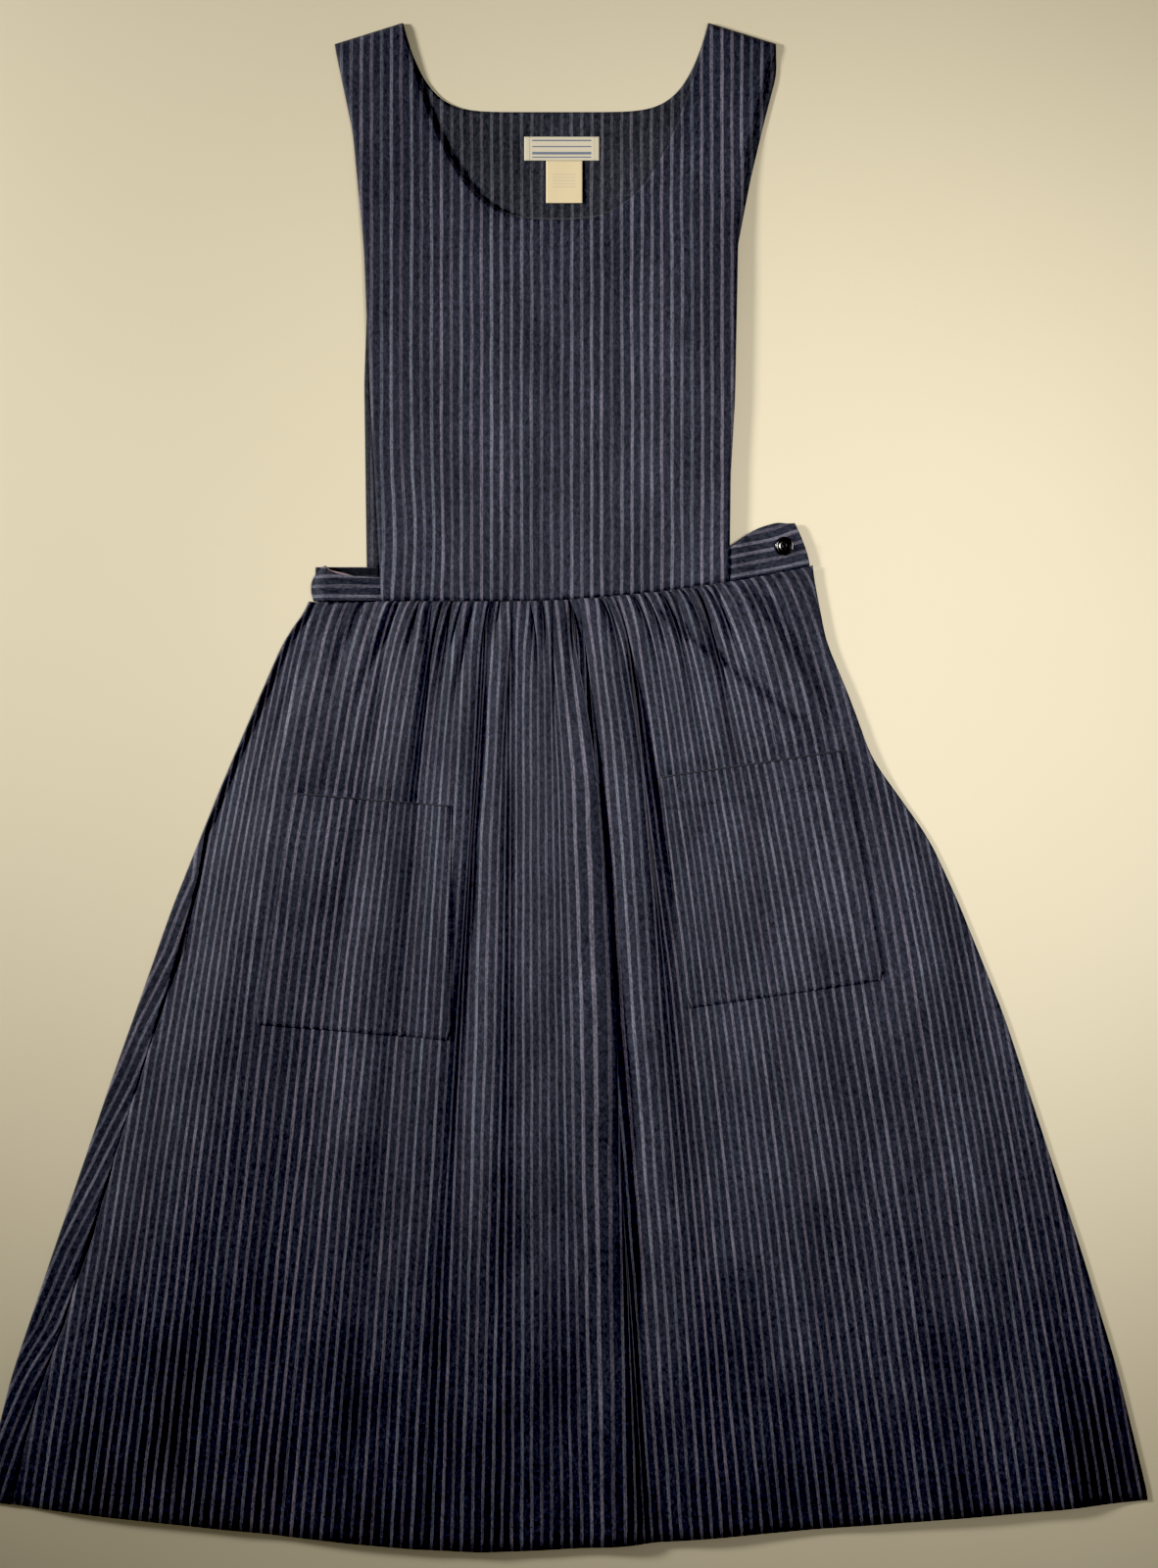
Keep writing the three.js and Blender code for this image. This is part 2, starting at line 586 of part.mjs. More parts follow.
// Labels inside the back neck: a woven one sewn at both ends, and a care label hanging from it.
const NECK_LABEL_X = BIB_CENTRE_X + NECK_LABEL_OFFSET;
const labelTopY = SHOULDER_Y - BACK_NECK_DEPTH - NECK_LABEL_FROM_NECK;
const labelBottomY = labelTopY - NECK_LABEL_HEIGHT;

// A thin block of cloth, centred in plan, standing on z = 0.
function block(width, height, thickness) {
  return new THREE.BoxGeometry(width, height, thickness).translate(0, 0, thickness / 2);
}
const labelMiddleY = (labelTopY + labelBottomY) / 2;
const neckLabel = block(NECK_LABEL_WIDTH, NECK_LABEL_HEIGHT, LABEL_THICKNESS);
neckLabel.translate(NECK_LABEL_X, labelMiddleY, INSIDE_Z);
addPiece('neck_label', neckLabel, WOVEN_LABEL);
for (const [side, name] of [[-1, 'left'], [1, 'right']]) {
  const x = NECK_LABEL_X + side * (NECK_LABEL_WIDTH / 2 - LABEL_SEAM_INSET);
  const z = INSIDE_Z + LABEL_THICKNESS + GAP;
  const seam = block(LABEL_SEAM_WIDTH, NECK_LABEL_HEIGHT, THIN).translate(x, labelMiddleY, z);
  addPiece(`neck_label_stitching_${name}`, seam, THREAD);
}
const careLabelY = labelBottomY - GAP - CARE_LABEL_LENGTH / 2;
const careLabel = block(CARE_LABEL_WIDTH, CARE_LABEL_LENGTH, LABEL_THICKNESS);
careLabel.translate(BIB_CENTRE_X + CARE_LABEL_OFFSET, careLabelY, INSIDE_Z);
addPiece('care_label', careLabel, SATIN_LABEL);

// The origin is kept under the middle of the whole outline.
const outline = new THREE.Box3().setFromObject(dress);
const middle = outline.getCenter(new THREE.Vector3());
dress.position.set(-middle.x, -middle.y, -outline.min.z);

export default dress;
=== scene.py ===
import math

import bmesh
import bpy
import numpy as np
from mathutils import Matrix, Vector
from mathutils.bvhtree import BVHTree
from mathutils.interpolate import poly_3d_calc


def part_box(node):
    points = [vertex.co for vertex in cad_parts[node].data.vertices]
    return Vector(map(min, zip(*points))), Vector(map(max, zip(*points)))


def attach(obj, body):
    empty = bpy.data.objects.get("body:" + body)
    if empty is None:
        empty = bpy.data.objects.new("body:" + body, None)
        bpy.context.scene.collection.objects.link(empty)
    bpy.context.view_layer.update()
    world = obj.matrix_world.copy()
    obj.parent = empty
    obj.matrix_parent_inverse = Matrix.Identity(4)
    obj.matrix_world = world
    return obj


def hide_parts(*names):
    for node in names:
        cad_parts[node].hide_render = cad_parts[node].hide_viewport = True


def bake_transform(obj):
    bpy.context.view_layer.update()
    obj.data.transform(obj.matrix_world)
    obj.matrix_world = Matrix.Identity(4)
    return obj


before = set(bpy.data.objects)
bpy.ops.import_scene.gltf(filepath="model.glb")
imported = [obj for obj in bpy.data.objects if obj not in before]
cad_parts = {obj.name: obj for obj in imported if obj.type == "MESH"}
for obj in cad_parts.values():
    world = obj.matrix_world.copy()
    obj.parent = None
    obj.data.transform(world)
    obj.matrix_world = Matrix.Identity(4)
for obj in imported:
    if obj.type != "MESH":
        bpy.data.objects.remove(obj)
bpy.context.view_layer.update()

# ---------------------------------------------------------------------------------------------
# Front skirt panel. Yarn-dyed striped denim, cut as an A-line panel, gathered on two threads and
# sewn into the waist seam. It lies over the back panel in a few deep folds.
# ---------------------------------------------------------------------------------------------
MM = 0.001
CLOTH = 0.8
ABOVE_ALL = 200.0
BARE_TABLE = 2.0


def box_mm(node):
    """Lowest and highest corner of a CAD node, in mm."""
    return np.array([tuple(corner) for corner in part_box(node)]) / MM


skirt_low, skirt_high = box_mm("front_skirt")
bib_low, bib_high = box_mm("front_bib")
back_high = box_mm("back_skirt")[1]
lap_high = box_mm("waistband_lap")[1]

HEM_HALF = skirt_high[0]
HEM_LOWEST = skirt_low[1]
HEM_LOWEST_X = -62.0
HEM_CORNER_RISE = 40.0
HEM_ROUNDING = 60.0
WAIST_HALF = 201.0
WAIST = bib_low[1] - 0.3
WAIST_RISE = back_high[1] + 0.3 - WAIST
WAIST_RISE_FROM = -50.0
OPENING_DEPTH = 153.0
SKIRT_LENGTH = WAIST - HEM_LOWEST

SKIRT_COLUMNS = 390
SKIRT_ROWS = 124
CLOTH_SAMPLES = 1800


def smooth(low, high, x):
    t = np.clip((x - low) / (high - low), 0, 1)
    return t * t * (3 - 2 * t)


def waist_y(x):
    along = np.clip((x - WAIST_RISE_FROM) / (WAIST_HALF - WAIST_RISE_FROM), 0, None)
    return WAIST + WAIST_RISE * along**2


def hem_y(x):
    span = np.where(x < HEM_LOWEST_X, HEM_HALF + HEM_LOWEST_X, HEM_HALF - HEM_LOWEST_X)
    away = np.sqrt((x - HEM_LOWEST_X) ** 2 + HEM_ROUNDING**2) - HEM_ROUNDING
    return HEM_LOWEST + 2 + HEM_CORNER_RISE * np.clip(away / (span - HEM_ROUNDING * 0.8), 0, 1.1)


RIGHT_EDGE_LENGTH = waist_y(WAIST_HALF) - HEM_LOWEST - HEM_CORNER_RISE
OPENING_T = OPENING_DEPTH / RIGHT_EDGE_LENGTH

# Outline of the lying skirt, as (share of the way from waist to hem, mm from the middle). The right
# side is drawn in along the side opening and springs out below its foot.
LEFT_OUTLINE = [(0, 203), (0.04, 225), (0.105, 246), (0.2, 276), (0.333, 315), (0.53, 365), (0.725, 412),
                (0.856, 443), (0.93, 456), (1, HEM_HALF)]
RIGHT_OUTLINE = [(0, 196), (0.08, 208), (0.14, 227), (0.204, 244), (0.267, 276), (0.298, 291), (0.36, 312),
                 (0.487, 350), (0.613, 381), (0.738, 412), (0.864, 441), (1, HEM_HALF)]


CURVE_STEPS = (-0.016, -0.008, 0, 0.008, 0.016)


def along_curve(points, t):
    """A table of places and values with its corners rounded."""
    places, values = zip(*points)
    return sum(np.interp(t + step, places, values) for step in CURVE_STEPS) / 5


def left_x(t):
    return -along_curve(LEFT_OUTLINE, t)


def right_x(t):
    return along_curve(RIGHT_OUTLINE, t)


# Where each yarn of the hem enters the waist seam: close together in the gathers.
GATHER_RATE = 0.62
FIRST_YARN = -302
PAST_SPACING = 0.55
SPREAD_POWER = 0.7


def gather_density(x):
    window = smooth(-150, -118, x) * (1 - smooth(104, 132, x))
    centre = np.exp(-(((x + 18) / 85) ** 2))
    return 1.0 + window * (GATHER_RATE + GATHER_RATE * centre)


WAIST_SAMPLES = 800
waist_samples = np.linspace(-WAIST_HALF, WAIST_HALF, WAIST_SAMPLES)
step = waist_samples[1] - waist_samples[0]
yarn_at_waist = np.cumsum(gather_density(waist_samples)) * step
yarn_at_waist += FIRST_YARN - yarn_at_waist[0]


def waist_x(u):
    inside = np.interp(u, yarn_at_waist, waist_samples)
    past = np.clip(u - yarn_at_waist[-1], 0, None) + np.clip(u - yarn_at_waist[0], None, 0)
    return inside + PAST_SPACING * past


def yarn_x(u, t):
    return u + (waist_x(u) - u) * (1 - t**SPREAD_POWER)


def along_line(points, t):
    places, values = zip(*points)
    return np.interp(t, places, values)


def bell(x, half_width):
    return np.exp(-((x / half_width) ** 2))


# Deep folds. Each hides some cloth in a narrow valley that runs down near one yarn, and has a
# round crest on its left that can lean over the valley. Lists are (t, mm) from waist to hem.
FOLDS = [
    dict(yarn=(42, 60), width=8, spread=22, lean=1.0,
         hides=[(0, 6), (0.08, 16), (0.2, 30), (0.45, 30), (0.6, 18), (0.8, 9), (1, 3)],
         depth=[(0, 3), (0.1, 8), (0.25, 11), (0.45, 11), (0.62, 7), (1, 2.5)],
         crest=[(0, 0), (0.1, 4), (0.25, 7), (0.48, 7.5), (0.7, 5.5), (1, 3)]),
    dict(yarn=(-96, -112), hides=[(0, 4), (0.1, 10), (0.25, 14), (0.45, 9), (0.7, 3), (1, 0)], width=9,
         depth=[(0, 3), (0.1, 6), (0.3, 6), (0.5, 3.4), (1, 1)],
         crest=[(0, 0), (0.1, 1.5), (0.3, 1.5), (1, 0)], spread=20, lean=0.2),
    dict(yarn=(-58, -50), hides=[(0, 3), (0.15, 5), (0.4, 4), (0.7, 1), (1, 0)], width=10,
         depth=[(0, 1), (0.12, 2.6), (0.3, 3.4), (0.5, 2.2), (1, 0.5)],
         crest=[(0, 0), (0.08, 4.5), (0.25, 6.4), (0.45, 5.4), (0.7, 2.5), (1, 1)], spread=17, lean=0.2),
    dict(yarn=(8, 0), hides=[(0, 3), (0.1, 6), (0.25, 5), (0.45, 3), (1, 0)], width=8,
         depth=[(0, 1), (0.1, 4.0), (0.25, 3.8), (0.5, 1.6), (1, 0)],
         crest=[(0, 0), (1, 0)], spread=18, lean=0),
    dict(yarn=(112, 124), hides=[(0, 2), (0.1, 6), (0.18, 13), (0.32, 9), (0.42, 2), (1, 0)], width=8,
         depth=[(0, 1), (0.1, 3), (0.18, 7), (0.3, 6), (0.4, 1.2), (1, 0)],
         crest=[(0, 0), (0.12, 4), (0.25, 4.6), (0.4, 3), (0.8, 0.8), (1, 0)], spread=20, lean=0.5),
    dict(yarn=(-168, -180), hides=[(0, 3), (0.1, 6), (0.25, 6), (0.45, 2), (1, 0)], width=10,
         depth=[(0, 2.4), (0.1, 4.4), (0.25, 3.8), (0.5, 1.6), (1, 0.4)],
         crest=[(0, 0), (0.1, 2.5), (0.3, 3.4), (0.6, 2), (1, 1)], spread=26, lean=0.2),
    dict(yarn=(-225, -262), hides=[(0, 0), (0.1, 2), (0.25, 2), (0.45, 0), (1, 0)], width=14,
         depth=[(0, 1), (0.12, 2.6), (0.3, 2.2), (0.6, 0.6), (1, 0)],
         crest=[(0, 0), (0.12, 1.5), (0.3, 1.6), (0.6, 0.6), (1, 0)], spread=24, lean=0),
]

# Broad swells of the lying cloth, about these yarns: (t, mm) heights and half widths.
SWELLS = [
    dict(yarn=(-150, -130), height=[(0, 0), (0.2, 2.5), (0.5, 3.5), (1, 1.5)], spread=45),
    dict(yarn=(84, 104), height=[(0, 0), (0.2, 3), (0.5, 3.5), (1, 2)], spread=30),
    dict(yarn=(-10, -10), height=[(0, 0), (0.3, 2), (0.6, 2.5), (1, 1)], spread=30),
    dict(yarn=(230, 265), height=[(0, 0), (0.2, 3.2), (0.5, 3.8), (1, 1.5)], spread=60),
    dict(yarn=(170, 190), height=[(0, 0), (0.3, -1.5), (0.7, -2), (1, -1)], spread=30),
    dict(yarn=(360, 400), height=[(0, 0), (0.4, 2), (0.8, 2.4), (1, 1.5)], spread=40),
    dict(yarn=(-300, -330), height=[(0, 0), (0.3, 2.2), (0.8, 2.8), (1, 1.5)], spread=45),
]

# Sharp slanting creases from the corner of the bib towards the foot of the side opening:
# points in mm from the corner of the bib, crest height and half width.
SLANTS = [
    dict(points=[(2, -2), (20, -20), (38, -44), (57, -71), (74, -100), (88, -125)], height=6.5, width=9),
    dict(points=[(-72, -14), (-50, -36), (-24, -57), (3, -77), (34, -100), (62, -122), (91, -145)],
         height=7.5, width=9),
]

# Gathers: a valley every few millimetres of the seam, unevenly spaced. Each fades out lower down.
GATHER_COUNT = 38
GATHER_FIRST = -186.0
GATHER_LAST = 168.0

gather_dice = np.random.default_rng(7)
gather_places = np.linspace(GATHER_FIRST, GATHER_LAST, GATHER_COUNT)
gather_places = gather_places + gather_dice.uniform(-3.0, 3.0, GATHER_COUNT)
gather_strength = gather_dice.uniform(0.6, 1.5, GATHER_COUNT)
gather_reach = gather_dice.uniform(20, 70, GATHER_COUNT)
gather_reach[::3] *= 1.9
gather_drift = gather_dice.uniform(-0.22, 0.22, GATHER_COUNT)
gather_yarns = np.interp(gather_places, waist_samples, yarn_at_waist)
GATHER_WIDTH = 3.6
GATHER_WIDENS = 0.035
GATHER_DEPTH = 10.5
PUFF_HEIGHT = 3.2
PUFF_REACH = 85


def ripples(x, y, seed, sizes, heights):
    """Smooth, repeatable unevenness: a few sine waves in mixed directions for each size in mm."""
    dice = np.random.default_rng(seed)
    total = np.zeros_like(np.asarray(x, float) + np.asarray(y, float))
    for size, height in zip(sizes, heights):
        for _ in range(5):
            angle, phase = dice.uniform(0, math.tau, 2)
            wave = math.tau / (size * dice.uniform(0.7, 1.4))
            total += height / 5 * np.sin(wave * (x * math.cos(angle) + y * math.sin(angle)) + phase)
    return total


STEEP, GENTLE = 0.5, 2.6
bib_corner_x = bib_high[0] - 38.0


def slant_height(x, y):
    """Height of the slanting creases over the point x, y: steep on their upper side."""
    corner = np.array([bib_corner_x, waist_y(bib_corner_x)])
    total = np.zeros_like(x)
    for crease in SLANTS:
        points = np.array(crease["points"]) + corner
        best = np.full_like(x, 1e6)
        side = np.ones_like(x)
        share = np.zeros_like(x)
        count = len(points) - 1
        for i in range(count):
            a, b = points[i], points[i + 1]
            run = b - a
            length = np.hypot(*run)
            k = np.clip(((x - a[0]) * run[0] + (y - a[1]) * run[1]) / length**2, 0, 1)
            gap = np.hypot(x - a[0] - k * run[0], y - a[1] - k * run[1])
            cross = (run[0] * (y - a[1]) - run[1] * (x - a[0])) / length
            nearer = gap < best
            best = np.where(nearer, gap, best)
            side = np.where(nearer, np.sign(cross), side)
            share = np.where(nearer, (i + k) / count, share)
        width = np.where(side > 0, crease["width"] * STEEP, crease["width"] * GENTLE)
        fade = smooth(0, 0.12, share) * (1 - smooth(0.6, 1, share))
        total += crease["height"] * fade * bell(best, width)
    return total


yarns = np.linspace(-HEM_HALF - 40, HEM_HALF + 60, CLOTH_SAMPLES)
yarn_step = yarns[1] - yarns[0]
gathered = smooth(-240, -205, yarns) * (1 - smooth(262, 300, yarns))
SETTLE = 110
SETTLED = 0.85
MOST_HIDDEN = 0.94
settle_window = np.hanning(2 * SETTLE + 1)
settle_window /= settle_window.sum()


def skirt_row(t):
    """One row of the front skirt: x, y and z at every yarn, and x with no lean."""
    down = t * SKIRT_LENGTH
    coarse = yarn_x(yarns, t)
    excess = np.clip(1 - np.gradient(coarse, yarn_step), 0, 0.9) * gathered
    hidden = np.zeros_like(yarns)
    z = np.zeros_like(yarns)
    lean = np.zeros_like(yarns)
    seam_excess = np.interp(gather_yarns, yarns, excess)
    pitch = np.gradient(gather_yarns)
    pinch = 0.45 + 0.55 * smooth(0, 9, down)
    for i in range(GATHER_COUNT):
        fade = gather_strength[i] * math.exp(-((down / gather_reach[i]) ** 1.4))
        if fade < 0.004:
            continue
        away = yarns - gather_yarns[i] - gather_drift[i] * down
        width = GATHER_WIDTH + GATHER_WIDENS * down
        hides = fade * seam_excess[i] * pitch[i]
        hidden += hides * bell(away, width) / (width * math.sqrt(math.pi))
        z -= GATHER_DEPTH * fade * pinch * (0.35 + seam_excess[i]) * bell(away, width * 1.1)
    for fold in FOLDS:
        yarn = fold["yarn"][0] + (fold["yarn"][1] - fold["yarn"][0]) * t
        away = yarns - yarn
        width = fold["width"] + 4 * t
        hidden += along_line(fold["hides"], t) * bell(away, width) / (width * math.sqrt(math.pi))
        beyond = away - 0.8 * width
        z -= along_line(fold["depth"], t) * bell(beyond, np.where(beyond < 0, 1.2, 2.2) * width)
        z += along_line(fold["crest"], t) * bell(away + fold["spread"], fold["spread"])
        lean += fold["lean"] * along_line(fold["crest"], t) * bell(away + 0.9 * width, width * 1.4)
    for swell in SWELLS:
        yarn = swell["yarn"][0] + (swell["yarn"][1] - swell["yarn"][0]) * t
        z += along_line(swell["height"], t) * bell(yarns - yarn, swell["spread"])
    total = max(excess.sum() * yarn_step, 1e-3)
    hidden *= min(1, MOST_HIDDEN * total / max(hidden.sum() * yarn_step, 1e-3))
    hidden += excess * (1 - hidden.sum() * yarn_step / total)
    shift = np.cumsum(excess - hidden) * yarn_step
    drift = np.convolve(np.pad(shift, SETTLE, mode="edge"), settle_window, mode="valid")
    x = coarse + shift - SETTLED * drift
    y = (1 - t) * waist_y(waist_x(yarns)) + t * hem_y(yarns)
    z += slant_height(x, y)
    z += PUFF_HEIGHT * gathered * smooth(0, 16, down) * math.exp(-((down / PUFF_REACH) ** 2))
    z += ripples(x, y, 3, (190, 90, 40), (2.6, 1.4, 0.5)) * smooth(0, 60, down)
    return x, x + lean, y, z


def edge_drop(x, t, left_low, right_low):
    """Height of the panel over the table: level in the middle, down to the side seams."""
    inside = np.minimum(x - left_x(t), right_x(t) - x)
    side = smooth(-60, 60, x)
    return left_low * (1 - side) + right_low * side + 6.6 * smooth(-4, 70, inside)


FRONT_SEAM_HEIGHT = 1.7
LOWEST_CLOTH = 2.1
ROW_CROWDING = 1.6
DENSE_FROM, DENSE_TO = -235.0, 235.0
DENSE_SHARE = 0.74

# How far the side seam lies in from the left edge of the skirt, as (t, mm).
SEAM_INSET = [(0, 0), (0.24, 0), (0.3, 11), (0.38, 17), (0.46, 19), (0.53, 22), (0.71, 24), (0.8, 27),
              (0.89, 24), (1, 21)]


def skirt_t(row):
    return (row / SKIRT_ROWS) ** ROW_CROWDING


def seam_inset(t):
    return along_line(SEAM_INSET, t)


def yarn_columns(start, end):
    """Places of the mesh columns across the cloth: close together where it is gathered."""
    low, high = max(start + 5, DENSE_FROM), min(end - 5, DENSE_TO)
    dense = int(SKIRT_COLUMNS * DENSE_SHARE)
    left = int((SKIRT_COLUMNS - dense) * 0.5)
    right = SKIRT_COLUMNS - dense - left
    return np.concatenate([
        np.linspace(start, low, left, endpoint=False),
        np.linspace(low, high, dense, endpoint=False),
        np.linspace(high, end, right + 1),
    ])


# The skirt sinks a little along the mouth of each pocket: middle of the mouth, its length and turn.
POCKET_MOUTHS = [
    dict(x=-155.0, drop=158.0, half=60.0, turn=-0.08),
    dict(x=148.0, drop=148.0, half=70.0, turn=0.145),
]


GROOVE_DEPTH = 3.2
GROOVE_OVER = 1.5


def groove_depth(x, y, mouth):
    away_x, away_y = x - mouth["x"], y - waist_y(mouth["x"]) + mouth["drop"]
    c, s = math.cos(mouth["turn"]), math.sin(mouth["turn"])
    along, over = away_x * c + away_y * s, away_y * c - away_x * s
    inside = 1 - smooth(mouth["half"] - 6, mouth["half"], abs(along))
    return GROOVE_DEPTH * bell(over - GROOVE_OVER, np.where(over > GROOVE_OVER, 4.0, 2.5)) * inside


def front_panel():
    points = np.zeros((SKIRT_ROWS + 1, SKIRT_COLUMNS + 1, 3))
    uv = np.zeros((SKIRT_ROWS + 1, SKIRT_COLUMNS + 1, 2))
    for row in range(SKIRT_ROWS + 1):
        t = skirt_t(row)
        x_plain, x, y, z = skirt_row(t)
        start = np.interp(left_x(t) + seam_inset(t) + 0.4, x_plain, yarns)
        end = np.interp(right_x(t), x_plain, yarns)
        columns = yarn_columns(start, end)
        plain = np.interp(columns, yarns, x_plain)
        inside = np.minimum(plain - left_x(t), right_x(t) - plain)
        calm = smooth(0, 30, inside)
        over_facing = 2.6 * (1 - smooth(OPENING_T * 0.95, OPENING_T * 1.25, t))
        over_seam = 1.6 * smooth(0, 4, seam_inset(t))
        base = edge_drop(plain, t, FRONT_SEAM_HEIGHT + over_seam, FRONT_SEAM_HEIGHT + over_facing)
        lowest = LOWEST_CLOTH + (over_facing - 0.4 * smooth(0, 2.6, over_facing)) * smooth(150, 175, plain)
        points[row, :, 0] = plain + (np.interp(columns, yarns, x) - plain) * calm
        points[row, :, 1] = np.interp(columns, yarns, y)
        height = base + np.interp(columns, yarns, z) * calm
        for groove in POCKET_MOUTHS:
            height -= groove_depth(points[row, :, 0], points[row, :, 1], groove)
        points[row, :, 2] = np.maximum(height, lowest)
        uv[row, :, 0] = columns
        uv[row, :, 1] = t * SKIRT_LENGTH
    return points, uv


# ---------------------------------------------------------------------------------------------
# Tools for every piece: a closed sheet of cloth, what the frame is told of a piece, and shader
# nodes. A sheet's rim is drawn in a little, so that its edges look turned.
# ---------------------------------------------------------------------------------------------
RIM_ROUND = 0.2
ACROSS_FOLD = "across the fold"


def link_piece(name, mesh):
    mesh.polygons.foreach_set("use_smooth", [True] * len(mesh.polygons))
    piece = bpy.data.objects.new(name, mesh)
    bpy.context.scene.collection.objects.link(piece)
    return piece


def cloth_mesh(name, points, uv, thickness=CLOTH):
    """A closed sheet from a grid of top points and cloth places, both in mm."""
    rows, columns = points.shape[:2]
    normal = np.cross(np.gradient(points, axis=1), np.gradient(points, axis=0))
    normal /= np.maximum(np.linalg.norm(normal, axis=2, keepdims=True), 1e-9)
    if normal[..., 2].mean() < 0:
        normal = -normal
    below = points - normal * thickness
    middle = (points + below) / 2
    rim = np.ones((rows, columns, 1), bool)
    rim[1:-1, 1:-1] = False
    top = np.where(rim, points * (1 - RIM_ROUND) + middle * RIM_ROUND, points)
    below = np.where(rim, below * (1 - RIM_ROUND) + middle * RIM_ROUND, below)
    count = rows * columns
    verts = np.concatenate([top.reshape(-1, 3), below.reshape(-1, 3)]) * MM
    index = np.arange(count).reshape(rows, columns)
    a, b = index[:-1, :-1].ravel(), index[:-1, 1:].ravel()
    c, d = index[1:, 1:].ravel(), index[1:, :-1].ravel()
    upper = np.stack([a, b, c, d], 1)
    lower = np.stack([a, d, c, b], 1) + count
    ring = np.concatenate([index[0, :], index[1:, -1], index[-1, -2::-1], index[-2:0:-1, 0]])
    following = np.roll(ring, -1)
    side = np.stack([ring, ring + count, following + count, following], 1)
    mesh = bpy.data.meshes.new(name)
    mesh.from_pydata(verts.tolist(), [], np.concatenate([upper, lower, side]).tolist())
    layer = mesh.uv_layers.new(name="cloth")
    flat = np.concatenate([uv.reshape(-1, 2)] * 2) * MM
    loops = np.zeros(len(mesh.loops), int)
    mesh.loops.foreach_get("vertex_index", loops)
    layer.data.foreach_set("uv", flat[loops].ravel())
    if np.cross(top[0, 1] - top[0, 0], top[1, 0] - top[0, 0])[2] < 0:
        mesh.flip_normals()
    mesh.update()
    return link_piece(name, mesh)


def declare(piece, body, slot, nodes=(), material=None, **cut):
    """Gives a piece its material, hangs it on its body's empty or bakes it in place, and hides the CAD nodes
    it stands for; its slot and flat cut are not used.
    """
    if material:
        piece.data.materials.clear()
        piece.data.materials.append(material)
    if body == ACROSS_FOLD:
        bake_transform(piece)
    else:
        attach(piece, body)
    if nodes:
        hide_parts(*nodes)
    return piece


def linear(code):
    """sRGB hex to linear RGBA."""
    parts = [int(code[i : i + 2], 16) / 255 for i in (1, 3, 5)]
    return [p / 12.92 if p <= 0.04045 else ((p + 0.055) / 1.055) ** 2.4 for p in parts] + [1.0]


def add(tree, kind, links=None, **settings):
    """Adds a node with its settings, its values and its links."""
    made = tree.nodes.new(kind)
    for key, value in settings.items():
        setattr(made, key, value)
    for key, value in (links or {}).items():
        if isinstance(value, bpy.types.NodeSocket):
            tree.links.new(value, made.inputs[key])
        else:
            made.inputs[key].default_value = value
    return made


def new_material(name):
    material = bpy.data.materials.new(name)
    material.use_nodes = True
    material.node_tree.nodes.clear()
    return material, material.node_tree


def math_node(tree, operation, first, second=0.5, clamp=False):
    return add(tree, "ShaderNodeMath", {0: first, 1: second}, operation=operation, use_clamp=clamp).outputs[0]


def noise(tree, place, scale=1.0, detail=2.0, stretch=(1, 1, 1), turn=0, **more):
    """Noise over places that are drawn out and turned."""
    spot = add(tree, "ShaderNodeMapping", {"Vector": place, "Rotation": (0, 0, turn), "Scale": stretch})
    inputs = {"Vector": spot.outputs[0], "Scale": scale, "Detail": detail, **more}
    return add(tree, "ShaderNodeTexNoise", inputs).outputs["Fac"]


def remap(tree, value, low, high, start=0.0, end=1.0, curve="LINEAR"):
    """Start to end becomes low to high."""
    inputs = {"Value": value, "From Min": start, "From Max": end, "To Min": low, "To Max": high}
    return add(tree, "ShaderNodeMapRange", inputs, interpolation_type=curve).outputs[0]


def mix(tree, share, low, high):
    return add(tree, "ShaderNodeMix", {0: share, 6: low, 7: high}, data_type="RGBA").outputs[2]


def raised(tree, height, strength, distance):
    inputs = {"Height": height, "Strength": strength, "Distance": distance}
    return add(tree, "ShaderNodeBump", inputs).outputs[0]


def cloth_place(tree):
    return add(tree, "ShaderNodeUVMap", uv_map="cloth").outputs["UV"]


def close_material(tree, inputs):
    shader = add(tree, "ShaderNodeBsdfPrincipled", inputs)
    add(tree, "ShaderNodeOutputMaterial", {"Surface": shader.outputs[0]})


def two_tone(name, dark, light, rough, scale, detail, bump=None, stretch=None, **shine):
    """Two close tones mottled over the object, or along the cloth where stretch is given."""
    material, tree = new_material(name)
    if stretch:
        grain = noise(tree, cloth_place(tree), scale, detail, stretch)
    else:
        grain = noise(tree, add(tree, "ShaderNodeTexCoord").outputs["Object"], scale, detail)
    inputs = {key.replace("_", " "): value for key, value in shine.items()}
    inputs["Base Color"] = mix(tree, grain, linear(dark), linear(light))
    inputs["Roughness"] = remap(tree, grain, *rough) if isinstance(rough, tuple) else rough
    if bump:
        inputs["Normal"] = raised(tree, grain, *bump)
    close_material(tree, inputs)
    return material


# Indigo denim, yarn dyed and twill woven. Pale twin yarns make a stripe every 8 mm. The eye gets
# soft broken stripes, a heathered ground and a slight bloom of loose fibre at grazing light.
STRIPE_PITCH = 8.0
STRIPE_HALF = 1.15
STRIPE_SOFT = 0.6
TWIN_GROOVE = 0.28
YARN_WANDER = 1.3
TWILL_PITCH = 1.1
TWILL_ANGLE = math.radians(30)
DASH_ANGLE = math.radians(-28)


